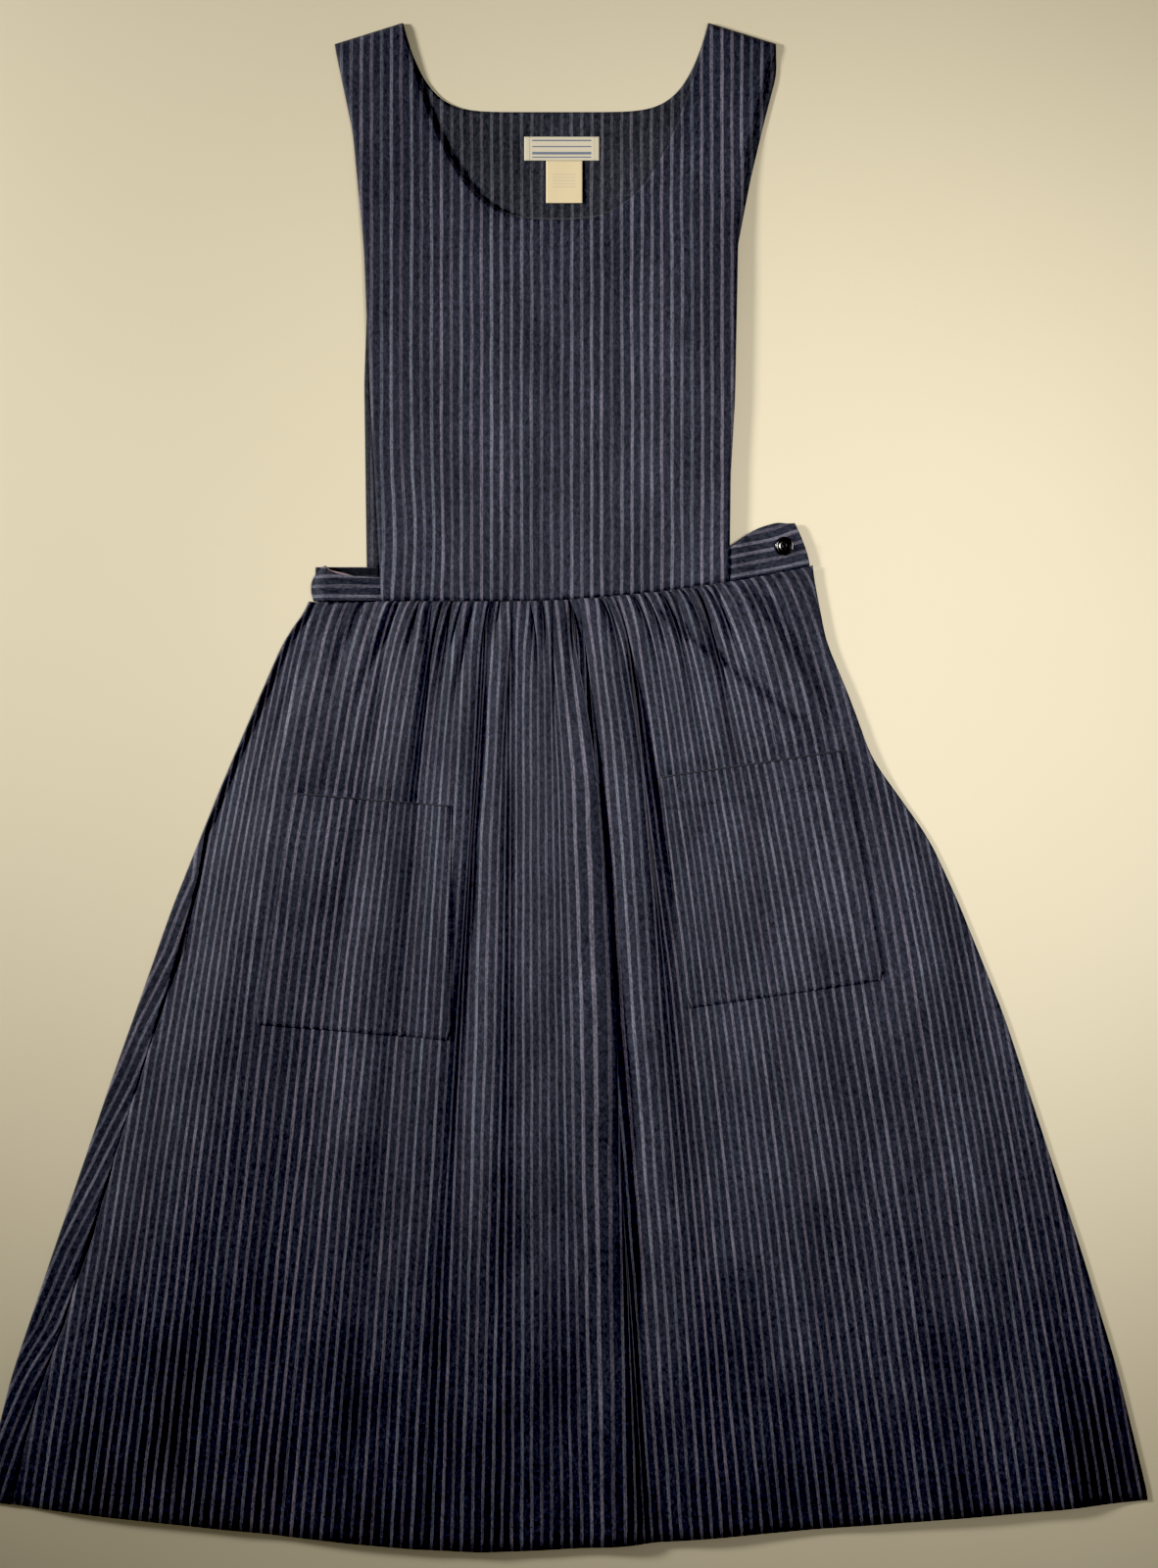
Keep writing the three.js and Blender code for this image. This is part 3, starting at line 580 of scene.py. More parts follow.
def striped_denim(name, ground, ground_light, pale, pale_warm, turned=False, strength=1.0):
    material, tree = new_material(name)
    split = add(tree, "ShaderNodeSeparateXYZ", {"Vector": cloth_place(tree)})
    across, along = ("Y", "X") if turned else ("X", "Y")
    u_mm = math_node(tree, "MULTIPLY", split.outputs[across], 1 / MM)
    v_mm = math_node(tree, "MULTIPLY", split.outputs[along], 1 / MM)
    place = add(tree, "ShaderNodeCombineXYZ", {"X": u_mm, "Y": v_mm}).outputs[0]

    # Yarns wander a little across their length.
    shift = remap(tree, noise(tree, place, stretch=(0.05, 0.012, 1)), -YARN_WANDER, YARN_WANDER)
    beat = math_node(tree, "DIVIDE", math_node(tree, "ADD", u_mm, shift), STRIPE_PITCH)
    centred = math_node(tree, "SUBTRACT", math_node(tree, "FRACT", beat), 0.5)
    distance = math_node(tree, "ABSOLUTE", math_node(tree, "MULTIPLY", centred, STRIPE_PITCH))
    band = remap(tree, distance, 0.0, 1.0, STRIPE_HALF + STRIPE_SOFT, STRIPE_HALF - STRIPE_SOFT, "SMOOTHSTEP")
    groove = remap(tree, distance, 0.62, 1.0, 0.0, TWIN_GROOVE + 0.25, "SMOOTHSTEP")

    # Each stripe has its own strength and its own cast, bluish or rosy.
    number = math_node(tree, "FLOOR", beat)
    chance = add(tree, "ShaderNodeTexWhiteNoise", {"W": number}, noise_dimensions="1D")
    own = remap(tree, chance.outputs["Value"], 0.45, 1.0)
    cast = add(tree, "ShaderNodeSeparateColor", {"Color": chance.outputs["Color"]}).outputs["Green"]

    # Slubs and broken weave: short slanting light and dark dashes, drawn about 2 mm long where real
    # ones are under 1 mm, so that they show.
    dashes = noise(tree, place, 0.8, 3.0, (0.95, 0.4, 1), DASH_ANGLE, Roughness=0.75)
    dash = remap(tree, dashes, 0.25, 1.6, 0.3, 0.7)
    slub = remap(tree, noise(tree, place, stretch=(0.5, 0.035, 1)), 0.5, 1.25, 0.3, 0.7)
    weft = remap(tree, noise(tree, place, stretch=(0.09, 1.1, 1)), 0.85, 1.15, 0.3, 0.7)
    stripe = math_node(tree, "MULTIPLY", band, groove)
    for factor in (own, dash, slub):
        stripe = math_node(tree, "MULTIPLY", stripe, factor)
    stripe = math_node(tree, "MULTIPLY", stripe, strength, clamp=True)

    # Ground: navy with paler fibres, in heathered specks and faint worn patches.
    blots = remap(tree, noise(tree, place, stretch=(0.3, 0.2, 1)), 0.6, 1.4, 0.3, 0.7)
    heather = math_node(tree, "MULTIPLY", math_node(tree, "MULTIPLY", dash, weft), blots)
    ground_mix = mix(tree, remap(tree, heather, 0.0, 1.0, 0.3, 1.7), linear(ground), linear(ground_light))
    pale_mix = mix(tree, cast, linear(pale), linear(pale_warm))
    patches = noise(tree, place, detail=3.0, stretch=(0.02, 0.009, 1))
    wear = {0: mix(tree, stripe, ground_mix, pale_mix), "Scale": remap(tree, patches, 0.78, 1.16, 0.35, 0.65)}
    worn = add(tree, "ShaderNodeVectorMath", wear, operation="SCALE").outputs[0]

    # Twill lines rise at 60 degrees to the weft, drawn at 1.1 mm where real ones are 0.6 mm apart.
    tilt = add(tree, "ShaderNodeMapping", {"Vector": place, "Rotation": (0, 0, TWILL_ANGLE)}).outputs[0]
    twill = add(tree, "ShaderNodeTexWave",
                {"Vector": tilt, "Scale": math.tau / (20 * TWILL_PITCH), "Distortion": 0.8, "Detail": 1.0},
                wave_type="BANDS", bands_direction="X").outputs["Fac"]
    relief = math_node(tree, "ADD", dashes, math_node(tree, "MULTIPLY", twill, 0.55))
    bump = raised(tree, math_node(tree, "ADD", stripe, relief), 0.55, 0.00035)
    close_material(tree, {
        "Base Color": worn, "Roughness": remap(tree, dashes, 0.62, 0.86), "Normal": bump, "IOR": 1.5,
        "Specular IOR Level": 0.25, "Sheen Weight": 0.1, "Sheen Roughness": 0.45,
    })
    return material


denim = striped_denim("striped_denim", "#13151b", "#3b3e4f", "#777b8b", "#7c7686")
denim_inside = striped_denim("striped_denim_wrong_side", "#17191e", "#3e414c", "#6e717c", "#726e79",
                             strength=0.8)
denim_cross = striped_denim("striped_denim_cross_cut", "#15171d", "#3e4253", "#7b7f8f", "#7f798b",
                            turned=True)

front_points, front_uv = front_panel()
front_skirt = cloth_mesh("front_skirt_cloth", front_points, front_uv)
declare(front_skirt, ACROSS_FOLD, "denim", ["front_skirt", "skirt_corner"], denim,
        flat=(0.96, 0.77), area=0.585, held="gathered", rests_on=["back_skirt_cloth"])


def piece_tree(piece):
    return BVHTree.FromObject(piece, bpy.context.evaluated_depsgraph_get())


def drop_on(tree, x, y):
    """Where a plumb line over a point in mm meets a piece, and the face it meets."""
    spot, _, face, _ = tree.ray_cast(Vector((x * MM, y * MM, ABOVE_ALL * MM)), Vector((0, 0, -1)))
    return spot, face


def top_height(tree, x, y):
    spot = drop_on(tree, x, y)[0]
    return spot.z / MM if spot else BARE_TABLE


skirt_tree = piece_tree(front_skirt)

# ---------------------------------------------------------------------------------------------
# Back skirt panel. The same denim, cut a little wider than the front, so it comes round the left
# edge and meets the front panel in a side seam that lies on top. It rests on the table.
# ---------------------------------------------------------------------------------------------
BACK_COLUMNS = 120
BACK_ROWS = 120
ROLL_RADIUS = 1.7
ROLL_SHARE = 0.16
ROLL_START = 0.6
BACK_REST = 0.5
BACK_CLOTH = 0.7


def back_panel():
    points = np.zeros((BACK_ROWS + 1, BACK_COLUMNS + 1, 3))
    uv = np.zeros((BACK_ROWS + 1, BACK_COLUMNS + 1, 2))
    turn = int(BACK_COLUMNS * ROLL_SHARE)
    for row in range(BACK_ROWS + 1):
        t = (row / BACK_ROWS) ** 1.2
        inset = max(float(seam_inset(t)), 0.2)
        left, right = float(left_x(t)), float(right_x(t)) - 2.0
        outer = left + ROLL_RADIUS
        path = []
        for i in range(turn + 1):
            share = i / turn
            if share < ROLL_START:
                k = share / ROLL_START
                across = left + inset + (outer - left - inset) * k
                path.append((across, 2 * ROLL_RADIUS + BACK_REST + 0.7 * (1 - k)))
            else:
                angle = math.pi * (share - ROLL_START) / (1 - ROLL_START)
                rolled = ROLL_RADIUS + BACK_REST + ROLL_RADIUS * math.cos(angle)
                path.append((outer - ROLL_RADIUS * math.sin(angle), rolled))
        for i in range(1, BACK_COLUMNS - turn + 1):
            path.append((outer + (right - outer) * i / (BACK_COLUMNS - turn), BACK_REST))
        path = np.array(path)
        steps = np.hypot(*np.diff(path, axis=0).T)
        x = path[:, 0]
        at_waist = np.clip(x * WAIST_HALF / abs(left), -WAIST_HALF, WAIST_HALF)
        y = (1 - t) * waist_y(at_waist) + t * hem_y(x)
        level = smooth(turn - 1, turn + 14, np.arange(BACK_COLUMNS + 1))
        waves = 0.55 + 0.5 * ripples(x, y, 11, (120, 50), (1.4, 0.6))
        gathers = np.abs(np.sin(x * math.pi / 13)) * math.exp(-t * SKIRT_LENGTH / 60) * 1.3
        z = 0.75 + path[:, 1] - BACK_REST + level * np.clip(waves + gathers, 0.0, 2.6)
        points[row] = np.stack([x, y, z], axis=1)
        uv[row, :, 0] = np.interp(t, seam_t, seam_yarns) + np.concatenate([[0], np.cumsum(steps)])
        uv[row, :, 1] = t * SKIRT_LENGTH
    return points, uv


seam_t = skirt_t(np.arange(SKIRT_ROWS + 1))
seam_yarns = front_uv[:, 0, 0]
# The roll turns the sheet over, so its thickness goes to the outside there.
back_skirt = cloth_mesh("back_skirt_cloth", *back_panel(), BACK_CLOTH)
declare(back_skirt, "dress", "denim", ["back_skirt"], denim,
        flat=(1.0, 0.77), area=0.57, held="laid", rests_on=["floor"])

# ---------------------------------------------------------------------------------------------
# Patch pockets. Each is one piece of the striped denim, cut so that its stripes run on from the
# skirt, hemmed along the mouth and topstitched to the skirt on its other three sides.
# ---------------------------------------------------------------------------------------------
POCKET_DEPTH = 186.0
POCKET_HEM = 27.0
POCKET_COLUMNS = 84
POCKET_ROWS = 96
POCKET_TURN_IN = 20.0
POCKET_TURN_DOWN = 35.0
POCKET_CUT_SHARE = 0.84
POCKET_REST = 0.85
POCKETS = {
    "left_pocket": dict(x=-155.0, drop=158.0, top=127.0, bottom=158.0, turn=-0.08),
    "right_pocket": dict(x=148.0, drop=148.0, top=149.0, bottom=160.0, turn=0.145),
}


def pocket_place(spec, share, down):
    """The place in plan of a point of a pocket: share is -1 to 1 across, down is from the mouth."""
    k = down / POCKET_DEPTH
    across = share * (spec["top"] + (spec["bottom"] - spec["top"]) * k) / 2
    corner_round = 2.5 * smooth(0.9, 1, np.abs(share)) * smooth(POCKET_DEPTH - 10, POCKET_DEPTH, down)
    across = across - np.sign(share) * corner_round
    c, s = math.cos(spec["turn"]), math.sin(spec["turn"])
    x = spec["x"] + across * c + down * s
    y = waist_y(spec["x"]) - spec["drop"] + across * s - down * c
    return x, y


def skirt_cloth_place(x, y):
    """The place in the front skirt's own cloth, in mm, under a point."""
    spot, index = drop_on(skirt_tree, x, y)
    face = front_skirt.data.polygons[index]
    uv = front_skirt.data.uv_layers["cloth"].data
    corners = [front_skirt.data.vertices[v].co for v in face.vertices]
    weights = poly_3d_calc(corners, spot)
    spots = [uv[loop].uv for loop in face.loop_indices]
    return [sum(w * place[axis] for w, place in zip(weights, spots)) / MM for axis in (0, 1)]


def neighbours(z):
    padded = np.pad(z, 1, mode="edge")
    return padded[2:, 1:-1], padded[:-2, 1:-1], padded[1:-1, 2:], padded[1:-1, :-2]


def spread_highest(z, reach):
    """Each value becomes the highest of its neighbours, and the result is smoothed."""
    high = z.copy()
    for first, second in ((0, 1), (2, 3)):
        for _ in range(reach):
            near = neighbours(high)
            high = np.maximum(high, np.maximum(near[first], near[second]))
    for _ in range(reach * 3):
        high = (sum(neighbours(high)) + 2 * high) / 6
    return high


def make_pocket(node, spec):
    across = np.linspace(-1, 1, POCKET_COLUMNS + 1)
    share, down = np.meshgrid(across, np.linspace(0, POCKET_DEPTH, POCKET_ROWS + 1))
    x, y = pocket_place(spec, share, down)
    under = np.array([[top_height(skirt_tree, a, b) for a, b in zip(*pair)] for pair in zip(x, y)])
    half_width = (spec["top"] + (spec["bottom"] - spec["top"]) * down / POCKET_DEPTH) / 2
    edge = np.minimum((1 - np.abs(share)) * half_width, POCKET_DEPTH - down)
    sewn = 1 - smooth(0, 5, edge)
    z = (spread_highest(under, 3) + 1.0) * (1 - sewn) + (under + POCKET_REST) * sewn
    z = np.maximum(z, under + CLOTH)
    # The doubled hem, the dip of its stitches, the slack mouth and the roll inside the side rows.
    z += 0.6 * (1 - smooth(POCKET_HEM - 1.2, POCKET_HEM + 0.6, down)) * smooth(0, 4, edge)
    z -= 0.45 * bell(down - POCKET_HEM, 1.1) * smooth(0, 6, edge)
    z += 0.9 * (1 - smooth(0, 16, down)) * smooth(0, 18, edge)
    z += 0.4 * bell(edge - 3.2, 1.6) * smooth(0, 4, down)
    # The cloth places are fitted to those of the skirt below, so that the stripes run on.
    picks = [(i, j) for i in range(0, POCKET_ROWS + 1, 8) for j in range(0, POCKET_COLUMNS + 1, 7)]
    spots = np.array([skirt_cloth_place(x[i, j], y[i, j]) for i, j in picks])
    a, b = share, down / POCKET_DEPTH
    terms = np.stack([np.ones_like(a), a, b, a * b, a * a, b * b, a * a * b], axis=2)
    fit = np.linalg.lstsq(np.array([terms[i, j] for i, j in picks]), spots, rcond=None)[0]
    piece = cloth_mesh(node + "_cloth", np.stack([x, y, z], axis=2), terms @ fit)
    width = max(spec["top"], spec["bottom"]) + POCKET_TURN_IN
    cut = (width * MM, (POCKET_DEPTH + POCKET_TURN_DOWN) * MM)
    return declare(piece, "dress", "denim", [node], denim, flat=cut,
                   area=POCKET_CUT_SHARE * cut[0] * cut[1], held="laid", rests_on=["front_skirt_cloth"])


pocket_pieces = {node: make_pocket(node, spec) for node, spec in POCKETS.items()}

# ---------------------------------------------------------------------------------------------
# Bibs. Each is cut double, an outer and a lining of the same denim, sewn together round the neck
# and armhole edges and turned, so that the edges are clean and rounded. The straps meet at the
# shoulder seams.
# ---------------------------------------------------------------------------------------------
BIB_CENTRE = (bib_low[0] + bib_high[0]) / 2
BIB_TOP_HALF = (bib_high[0] - bib_low[0]) / 2
BIB_BOTTOM_HALF = 139.0
# Side edges as (share of the way up, mm from the middle), left and right. The right back strap
# shows past the front one.
FRONT_SIDES = (
    [(0, 139), (0.41, 149), (0.63, 153), (0.84, 162), (1, 177)],
    [(0, 139), (0.2, 140), (0.34, 143.5), (0.63, 146), (0.735, 150), (0.84, 158), (0.925, 168), (1, 177)],
)
BACK_SIDES = (
    [(0, 151), (0.35, 153), (0.5, 151), (0.63, 152), (0.84, 161), (1, 176)],
    [(0, 137), (0.5, 142), (0.6, 146), (0.73, 156), (0.84, 166.5), (0.94, 177), (1, 176.5)],
)
NECK_HALF = 122.5
SHOULDER = bib_high[1]
SHOULDER_SLOPE = 17.0
BIB_COLUMNS = 150
BIB_ROWS = 110
STRAP_SHARE = 0.17
FRONT_NECK = dict(neck_depth=157.0, roundness=3.1, sides=FRONT_SIDES)
BACK_NECK = dict(neck_depth=71.0, roundness=6.5, sides=BACK_SIDES, bottom_lift=28.0)


def bib_top_line(s, neck_depth, roundness, inset):
    """The upper edge from the left shoulder point, round the neck, to the right shoulder point."""
    strap_width = BIB_TOP_HALF - NECK_HALF - 2 * inset
    x = np.zeros_like(s)
    y = np.zeros_like(s)
    for side, on_strap, from_end in ((-1, s < STRAP_SHARE, s), (1, s > 1 - STRAP_SHARE, 1 - s)):
        k = from_end[on_strap] / STRAP_SHARE
        x[on_strap] = BIB_CENTRE + side * (BIB_TOP_HALF - inset - strap_width * k)
        y[on_strap] = SHOULDER - SHOULDER_SLOPE * (1 - k) - inset
    middle = ~((s < STRAP_SHARE) | (s > 1 - STRAP_SHARE))
    c = np.cos(math.pi * (1 - (s[middle] - STRAP_SHARE) / (1 - 2 * STRAP_SHARE)))
    x[middle] = BIB_CENTRE + (NECK_HALF + inset) * c
    y[middle] = SHOULDER - inset - neck_depth * (1 - np.abs(c) ** roundness)
    return x, y


def bib_grid(neck_depth, roundness, sides, inset=0.0, bottom_lift=0.0):
    s = np.linspace(0, 1, BIB_COLUMNS + 1)
    top_x, top_y = bib_top_line(s, neck_depth, roundness, inset)
    bottom_share = 0.5 - 0.5 * np.cos(math.pi * s) * 0.9 - (0.5 - s) * 0.1
    bottom_share = (bottom_share - bottom_share[0]) / (bottom_share[-1] - bottom_share[0])
    bottom_x = BIB_CENTRE + (BIB_BOTTOM_HALF - inset) * (2 * bottom_share - 1)
    bottom_y = waist_y(bottom_x) + bottom_lift
    points = np.zeros((BIB_ROWS + 1, BIB_COLUMNS + 1, 3))
    for row in range(BIB_ROWS + 1):
        t = row / BIB_ROWS
        straight = BIB_BOTTOM_HALF + (BIB_TOP_HALF - BIB_BOTTOM_HALF) * t
        x = bottom_x + (top_x - bottom_x) * t
        for side, near, edge_line in ((-1, 1 - s, sides[0]), (1, s, sides[1])):
            x = x + side * (along_curve(edge_line, t) - straight) * smooth(0.62, 1, near)
        points[row, :, 0] = x
        points[row, :, 1] = bottom_y + (top_y - bottom_y) * t
    return points


def edge_distance(points):
    """Rough distance in mm from each grid point to the neck, shoulder and side edges."""
    steps = np.linalg.norm(np.diff(points, axis=1), axis=2)
    from_left = np.concatenate([np.zeros((points.shape[0], 1)), np.cumsum(steps, axis=1)], axis=1)
    from_right = from_left[:, -1:] - from_left
    lifts = np.linalg.norm(np.diff(points, axis=0), axis=2)
    from_low = np.concatenate([np.zeros((1, points.shape[1])), np.cumsum(lifts, axis=0)], axis=0)
    from_top = from_low[-1:, :] - from_low
    return np.minimum(np.minimum(from_left, from_right), from_top), from_low


def shape_bib(points, level, drop, seed, swell):
    """Sets the heights of a bib, and gives its cloth places and how far each is from its foot."""
    edge, from_low = edge_distance(points)
    heights = (1.2 * swell, 0.7 * swell, 0.25 * swell)
    waves = ripples(points[..., 0], points[..., 1], seed, (210, 90, 40), heights)
    points[..., 2] = level + waves * smooth(0, 30, edge)
    points[..., 2] -= drop * (1 - smooth(0, 2.6, edge)) ** 1.5
    return points[..., :2].copy(), from_low


def make_bib(node, points, uv, thickness, flat, area, rests_on):
    slot, material = ("denim_inside", denim_inside) if "lining" in node else ("denim", denim)
    piece = cloth_mesh(node + "_cloth", points, uv, thickness)
    declare(piece, "dress", slot, [node], material, flat=flat, area=area, held="laid", rests_on=[rests_on])


BIB_LEVEL = bib_high[2]
SHOULDER_DROP = 3.9
FRONT_CUT = (0.36, 0.47)
BACK_CUT = (0.36, 0.44)
LINING_INSET = 1.6
LINING_BELOW = 1.35
BIB_CLOTH = 0.75
FRONT_LINING_CLOTH = 0.7
BACK_BIB_LEVEL = 0.9


def front_level(points):
    """The front bib comes down to meet the back one towards the shoulder seams."""
    return BIB_LEVEL - SHOULDER_DROP * smooth(390, 585, points[..., 1])


def mound(points, x, y, half_x, half_y):
    return np.exp(-(((points[..., 0] - x) / half_x) ** 2) - ((points[..., 1] - y) / half_y) ** 2)


points = bib_grid(**FRONT_NECK)
uv, from_low = shape_bib(points, front_level(points), 1.5, 21, 1.0)
# A shallow dent above the right of the waist seam, and the cloth bowing at the lower left.
points[..., 2] -= 1.3 * mound(points, BIB_CENTRE + 78, WAIST + 62, 40, 15)
points[..., 2] += 1.2 * mound(points, BIB_CENTRE + 74, WAIST + 86, 40, 16)
bow = mound(points, BIB_CENTRE - BIB_BOTTOM_HALF + 22, WAIST + 52, 26, 46)
points[..., 2] += 1.6 * bow
uv[..., 0] -= 3.5 * bow
points[..., 2] -= 2.2 * (1 - smooth(0, 4.0, from_low)) ** 2
make_bib("front_bib", points, uv, CLOTH, FRONT_CUT, 0.116, "back_bib_lining_cloth")

points = bib_grid(**FRONT_NECK, inset=LINING_INSET, bottom_lift=0.6)
uv, _ = shape_bib(points, front_level(points) - LINING_BELOW, 0.0, 21, 1.0)
make_bib("front_bib_lining", points, uv, FRONT_LINING_CLOTH, FRONT_CUT, 0.114, "front_bib_cloth")

points = bib_grid(**BACK_NECK)
uv, _ = shape_bib(points, BACK_BIB_LEVEL, 0.0, 31, 0.0)
make_bib("back_bib", points, uv, BIB_CLOTH, BACK_CUT, 0.126, "floor")

points = bib_grid(**BACK_NECK)
uv, _ = shape_bib(points, box_mm("back_bib_lining")[1][2] + 0.4, 0.9, 33, 0.35)
points[..., 2] = np.maximum(points[..., 2], BACK_BIB_LEVEL + 0.15 + BIB_CLOTH)
make_bib("back_bib_lining", points, uv, BIB_CLOTH, BACK_CUT, 0.125, "back_bib_cloth")

# ---------------------------------------------------------------------------------------------
# Waistband. Strips of the denim cut across, so that the stripes run along them, each with a
# facing. The left one goes round the side to the back band. The right one is a lap that buttons
# over the end of the back band.
# ---------------------------------------------------------------------------------------------
LAP_END = lap_high[0]
LAP_LEAN = 12.0
LEFT_LENGTH = 56
BIB_LEFT = BIB_CENTRE - BIB_BOTTOM_HALF
BIB_RIGHT = BIB_CENTRE + BIB_BOTTOM_HALF
BAND_ROWS = 22
BAND_ALLOWANCE = 6.0


def band_strip(name, nodes, x, low, high, z, lean, material, slot, length, height, rests_on, body="dress"):
    """A strip of cloth over the places x: low and high are its edges over the waist seam, z gives its
    heights, lean moves it sideways, and length by height is its cut without the turnings."""
    low, high = (np.full(len(x), edge) for edge in (low, high))
    share = np.linspace(0, 1, BAND_ROWS + 1)[:, None]
    x_grid = np.repeat(x[None, :], BAND_ROWS + 1, axis=0) + lean(share, x[None, :])
    y = waist_y(x)[None, :] + low[None, :] + (high - low)[None, :] * share
    heights = z(share, x[None, :]) + np.zeros_like(x_grid)
    run = np.concatenate([[0], np.cumsum(np.hypot(np.diff(x), np.diff(waist_y(x))))])
    uv = np.stack([np.repeat(run[None, :], BAND_ROWS + 1, axis=0), low + (high - low) * share], axis=2)
    piece = cloth_mesh(name, np.stack([x_grid, y, heights], axis=2), uv)
    cut = (length * MM, (height + BAND_ALLOWANCE) * MM)
    return declare(piece, body, slot, nodes, material, flat=cut, area=length * height * MM**2,
                   held="laid", rests_on=[rests_on])


def rounded_edge(places, corners, reach):
    """Heights of an edge along its places, with its corners rounded."""
    line = np.pad(np.interp(places, *zip(*corners)), reach, mode="edge")
    return np.convolve(line, np.ones(2 * reach + 1) / (2 * reach + 1), mode="valid")


# Left band: the top edge peaks at the side and dips beside the bib, and creases run along it.
LEFT_TOP = [(0, 26), (3, 29.3), (6, 28.6), (13, 24), (23, 21.5), (33, 20.2), (43, 19.5), (56, 19)]
left_x_places = np.linspace(-WAIST_HALF - 1.5, BIB_LEFT + 2, 60)
left_along = left_x_places - left_x_places[0]
left_high = rounded_edge(left_along, LEFT_TOP, 3)
# Each crease as (share of the height at the side, share at the bib, depth in mm).
LEFT_CREASES = [(0.24, 0.42, 1.6), (0.5, 0.53, 2.2), (0.8, 0.64, 2.0)]


def left_band_height(lift):
    def height(share, x):
        along = x - left_x_places[0]
        rise = 3.0 + 4.2 * smooth(0, 9, along) + 0.6 * smooth(20, 50, along)
        crease = 0.0
        for start, end, depth in LEFT_CREASES:
            away = share - start - (end - start) * along / LEFT_LENGTH
            crease = crease - depth * bell(away, 0.065) + 0.5 * depth * bell(away - 0.1, 0.07)
        fall = 1.6 * smooth(44, LEFT_LENGTH, along)
        return lift + rise + crease * smooth(4, 30, along) - fall + 0.3 * np.sin(along / 5.0 + 3 * share)
    return height


def left_end(share, x):
    return (5.5 * share**3 - 2.5 * np.sin(math.pi * share)) * (1 - smooth(0, 14, x - left_x_places[0]))


band_strip("left_waistband_cloth", ["left_waistband"], left_x_places, 0.3, left_high, left_band_height(0.0),
           left_end, denim_cross, "denim", 58, 26, "back_waistband_facing_cloth")

# The facing rolls up past the edge as a thin rosy line of undyed weft.
rosy_facing = two_tone("rosy_cotton_facing", "#6d5f66", "#a8969a", 0.8, 1.0, 3.0, (0.5, 0.0003),
                       (900, 2600, 1), Sheen_Weight=0.15)
shown = 1.3 * smooth(2, 10, left_along) * (1 - smooth(22, 34, left_along))
band_strip("left_waistband_facing_cloth", ["left_waistband_facing"], left_x_places + 0.8, 1.0,
           left_high + shown, left_band_height(-2.2), left_end, rosy_facing, "denim_inside", 58, 26,
           "left_waistband_cloth")

# Back band: flat on the table under everything, its right end the underlap. The inside of it shows
# its dull wrong side, in colours darkened as painted shade of the front band over it.
BACK_BAND_TOP = 27.9
BACK_BAND_COLUMNS = 130
back_x_places = np.linspace(-WAIST_HALF, LAP_END, BACK_BAND_COLUMNS)


def back_lean(share, x):
    return -LAP_LEAN * share * smooth(LAP_END - 30, LAP_END, x)


# A darker copy of the wrong-side denim: painted shade cast by the front band.
painted_shade_inside = striped_denim("striped_denim_wrong_side_cross_cut_painted_shade", "#0e1014", "#23262f", "#3b3e48",
                              "#3e3b43", turned=True, strength=0.5)
band_strip("back_waistband_cloth", ["back_waistband"], back_x_places, 0.3, BACK_BAND_TOP,
           lambda share, x: 0.9, back_lean, denim_cross, "denim", 398, 30, "floor")
band_strip("back_waistband_facing_cloth", ["back_waistband_facing"], back_x_places, 0.5,
           BACK_BAND_TOP - 0.5, lambda share, x: 1.95 + 0.25 * np.sin(x / 9.0), back_lean,
           painted_shade_inside, "denim_inside", 398, 30, "back_waistband_cloth")

# Right band and lap: rises to a rounded top edge over the button.
LAP_TOP = [(0, 28), (8, 33), (18, 38), (30, 40.5), (42, 40), (52, 37), (64, 34)]
lap_x_places = np.linspace(BIB_RIGHT + 0.4, LAP_END, 66)
lap_along = lap_x_places - lap_x_places[0]
lap_top_edge = rounded_edge(lap_along, LAP_TOP, 7)


def lap_lean(share, x):
    return -LAP_LEAN * share**1.4 * smooth(LAP_END - 34, LAP_END, x)


def lap_height(lift):
    def height(share, x):
        along = x - lap_x_places[0]
        fall = 7.7 - 3.1 * smooth(0, 22, along)
        crease = 0.9 * bell(share - 0.28, 0.1) * smooth(2, 16, along) * (1 - smooth(26, 50, along))
        edge_roll = -0.7 * (1 - smooth(0, 0.07, share)) - 0.9 * smooth(0.93, 1, share)
        return lift + fall + crease + edge_roll - 0.8 * smooth(0, 5, 5 - along)
    return height


lap = band_strip("waistband_lap_cloth", ["waistband_lap", "right_waistband"], lap_x_places, 0.3, lap_top_edge,
                 lap_height(0.0), lap_lean, denim_cross, "denim", 68, 38, "back_waistband_facing_cloth",
                 ACROSS_FOLD)
band_strip("waistband_lap_facing_cloth", ["waistband_lap_facing", "right_waistband_facing"],
           lap_x_places, 0.9, lap_top_edge - 0.8, lap_height(-1.45), lap_lean, denim_inside, "denim_inside",
           68, 38, "waistband_lap_cloth", ACROSS_FOLD)

# ---------------------------------------------------------------------------------------------
# Facings of the side opening. Narrow strips of the same denim, wrong side in, that neaten the
# two raw edges of the slit below the waistband.
# ---------------------------------------------------------------------------------------------
FACING_WIDTH = 22.0
FACING_ROWS = 46
FACING_CLOTH = 0.6


def opening_facing(node, level, body, rests_on):
    t = np.linspace(0.004, OPENING_T * 0.9, FACING_ROWS + 1)[:, None]
    share = np.linspace(0, 1, 13)[None, :]
    edge = right_x(t) - 1.0
    fold_x = bib_corner_x + 24 + (edge - bib_corner_x - 24) * t / OPENING_T
    x = edge - np.minimum(FACING_WIDTH, edge - fold_x) * (1 - share)
    y = waist_y(np.minimum(x, WAIST_HALF)) - 0.4 - t * RIGHT_EDGE_LENGTH
    z = level + 0.12 * np.sin(9 * t / OPENING_T) + 0 * x
    piece = cloth_mesh(node + "_cloth", np.stack([x, y, z], axis=2), np.stack([x, y], axis=2), FACING_CLOTH)
    declare(piece, body, "denim_inside", [node], denim_inside,
            flat=(0.034, 0.16), area=0.0034, held="laid", rests_on=[rests_on])


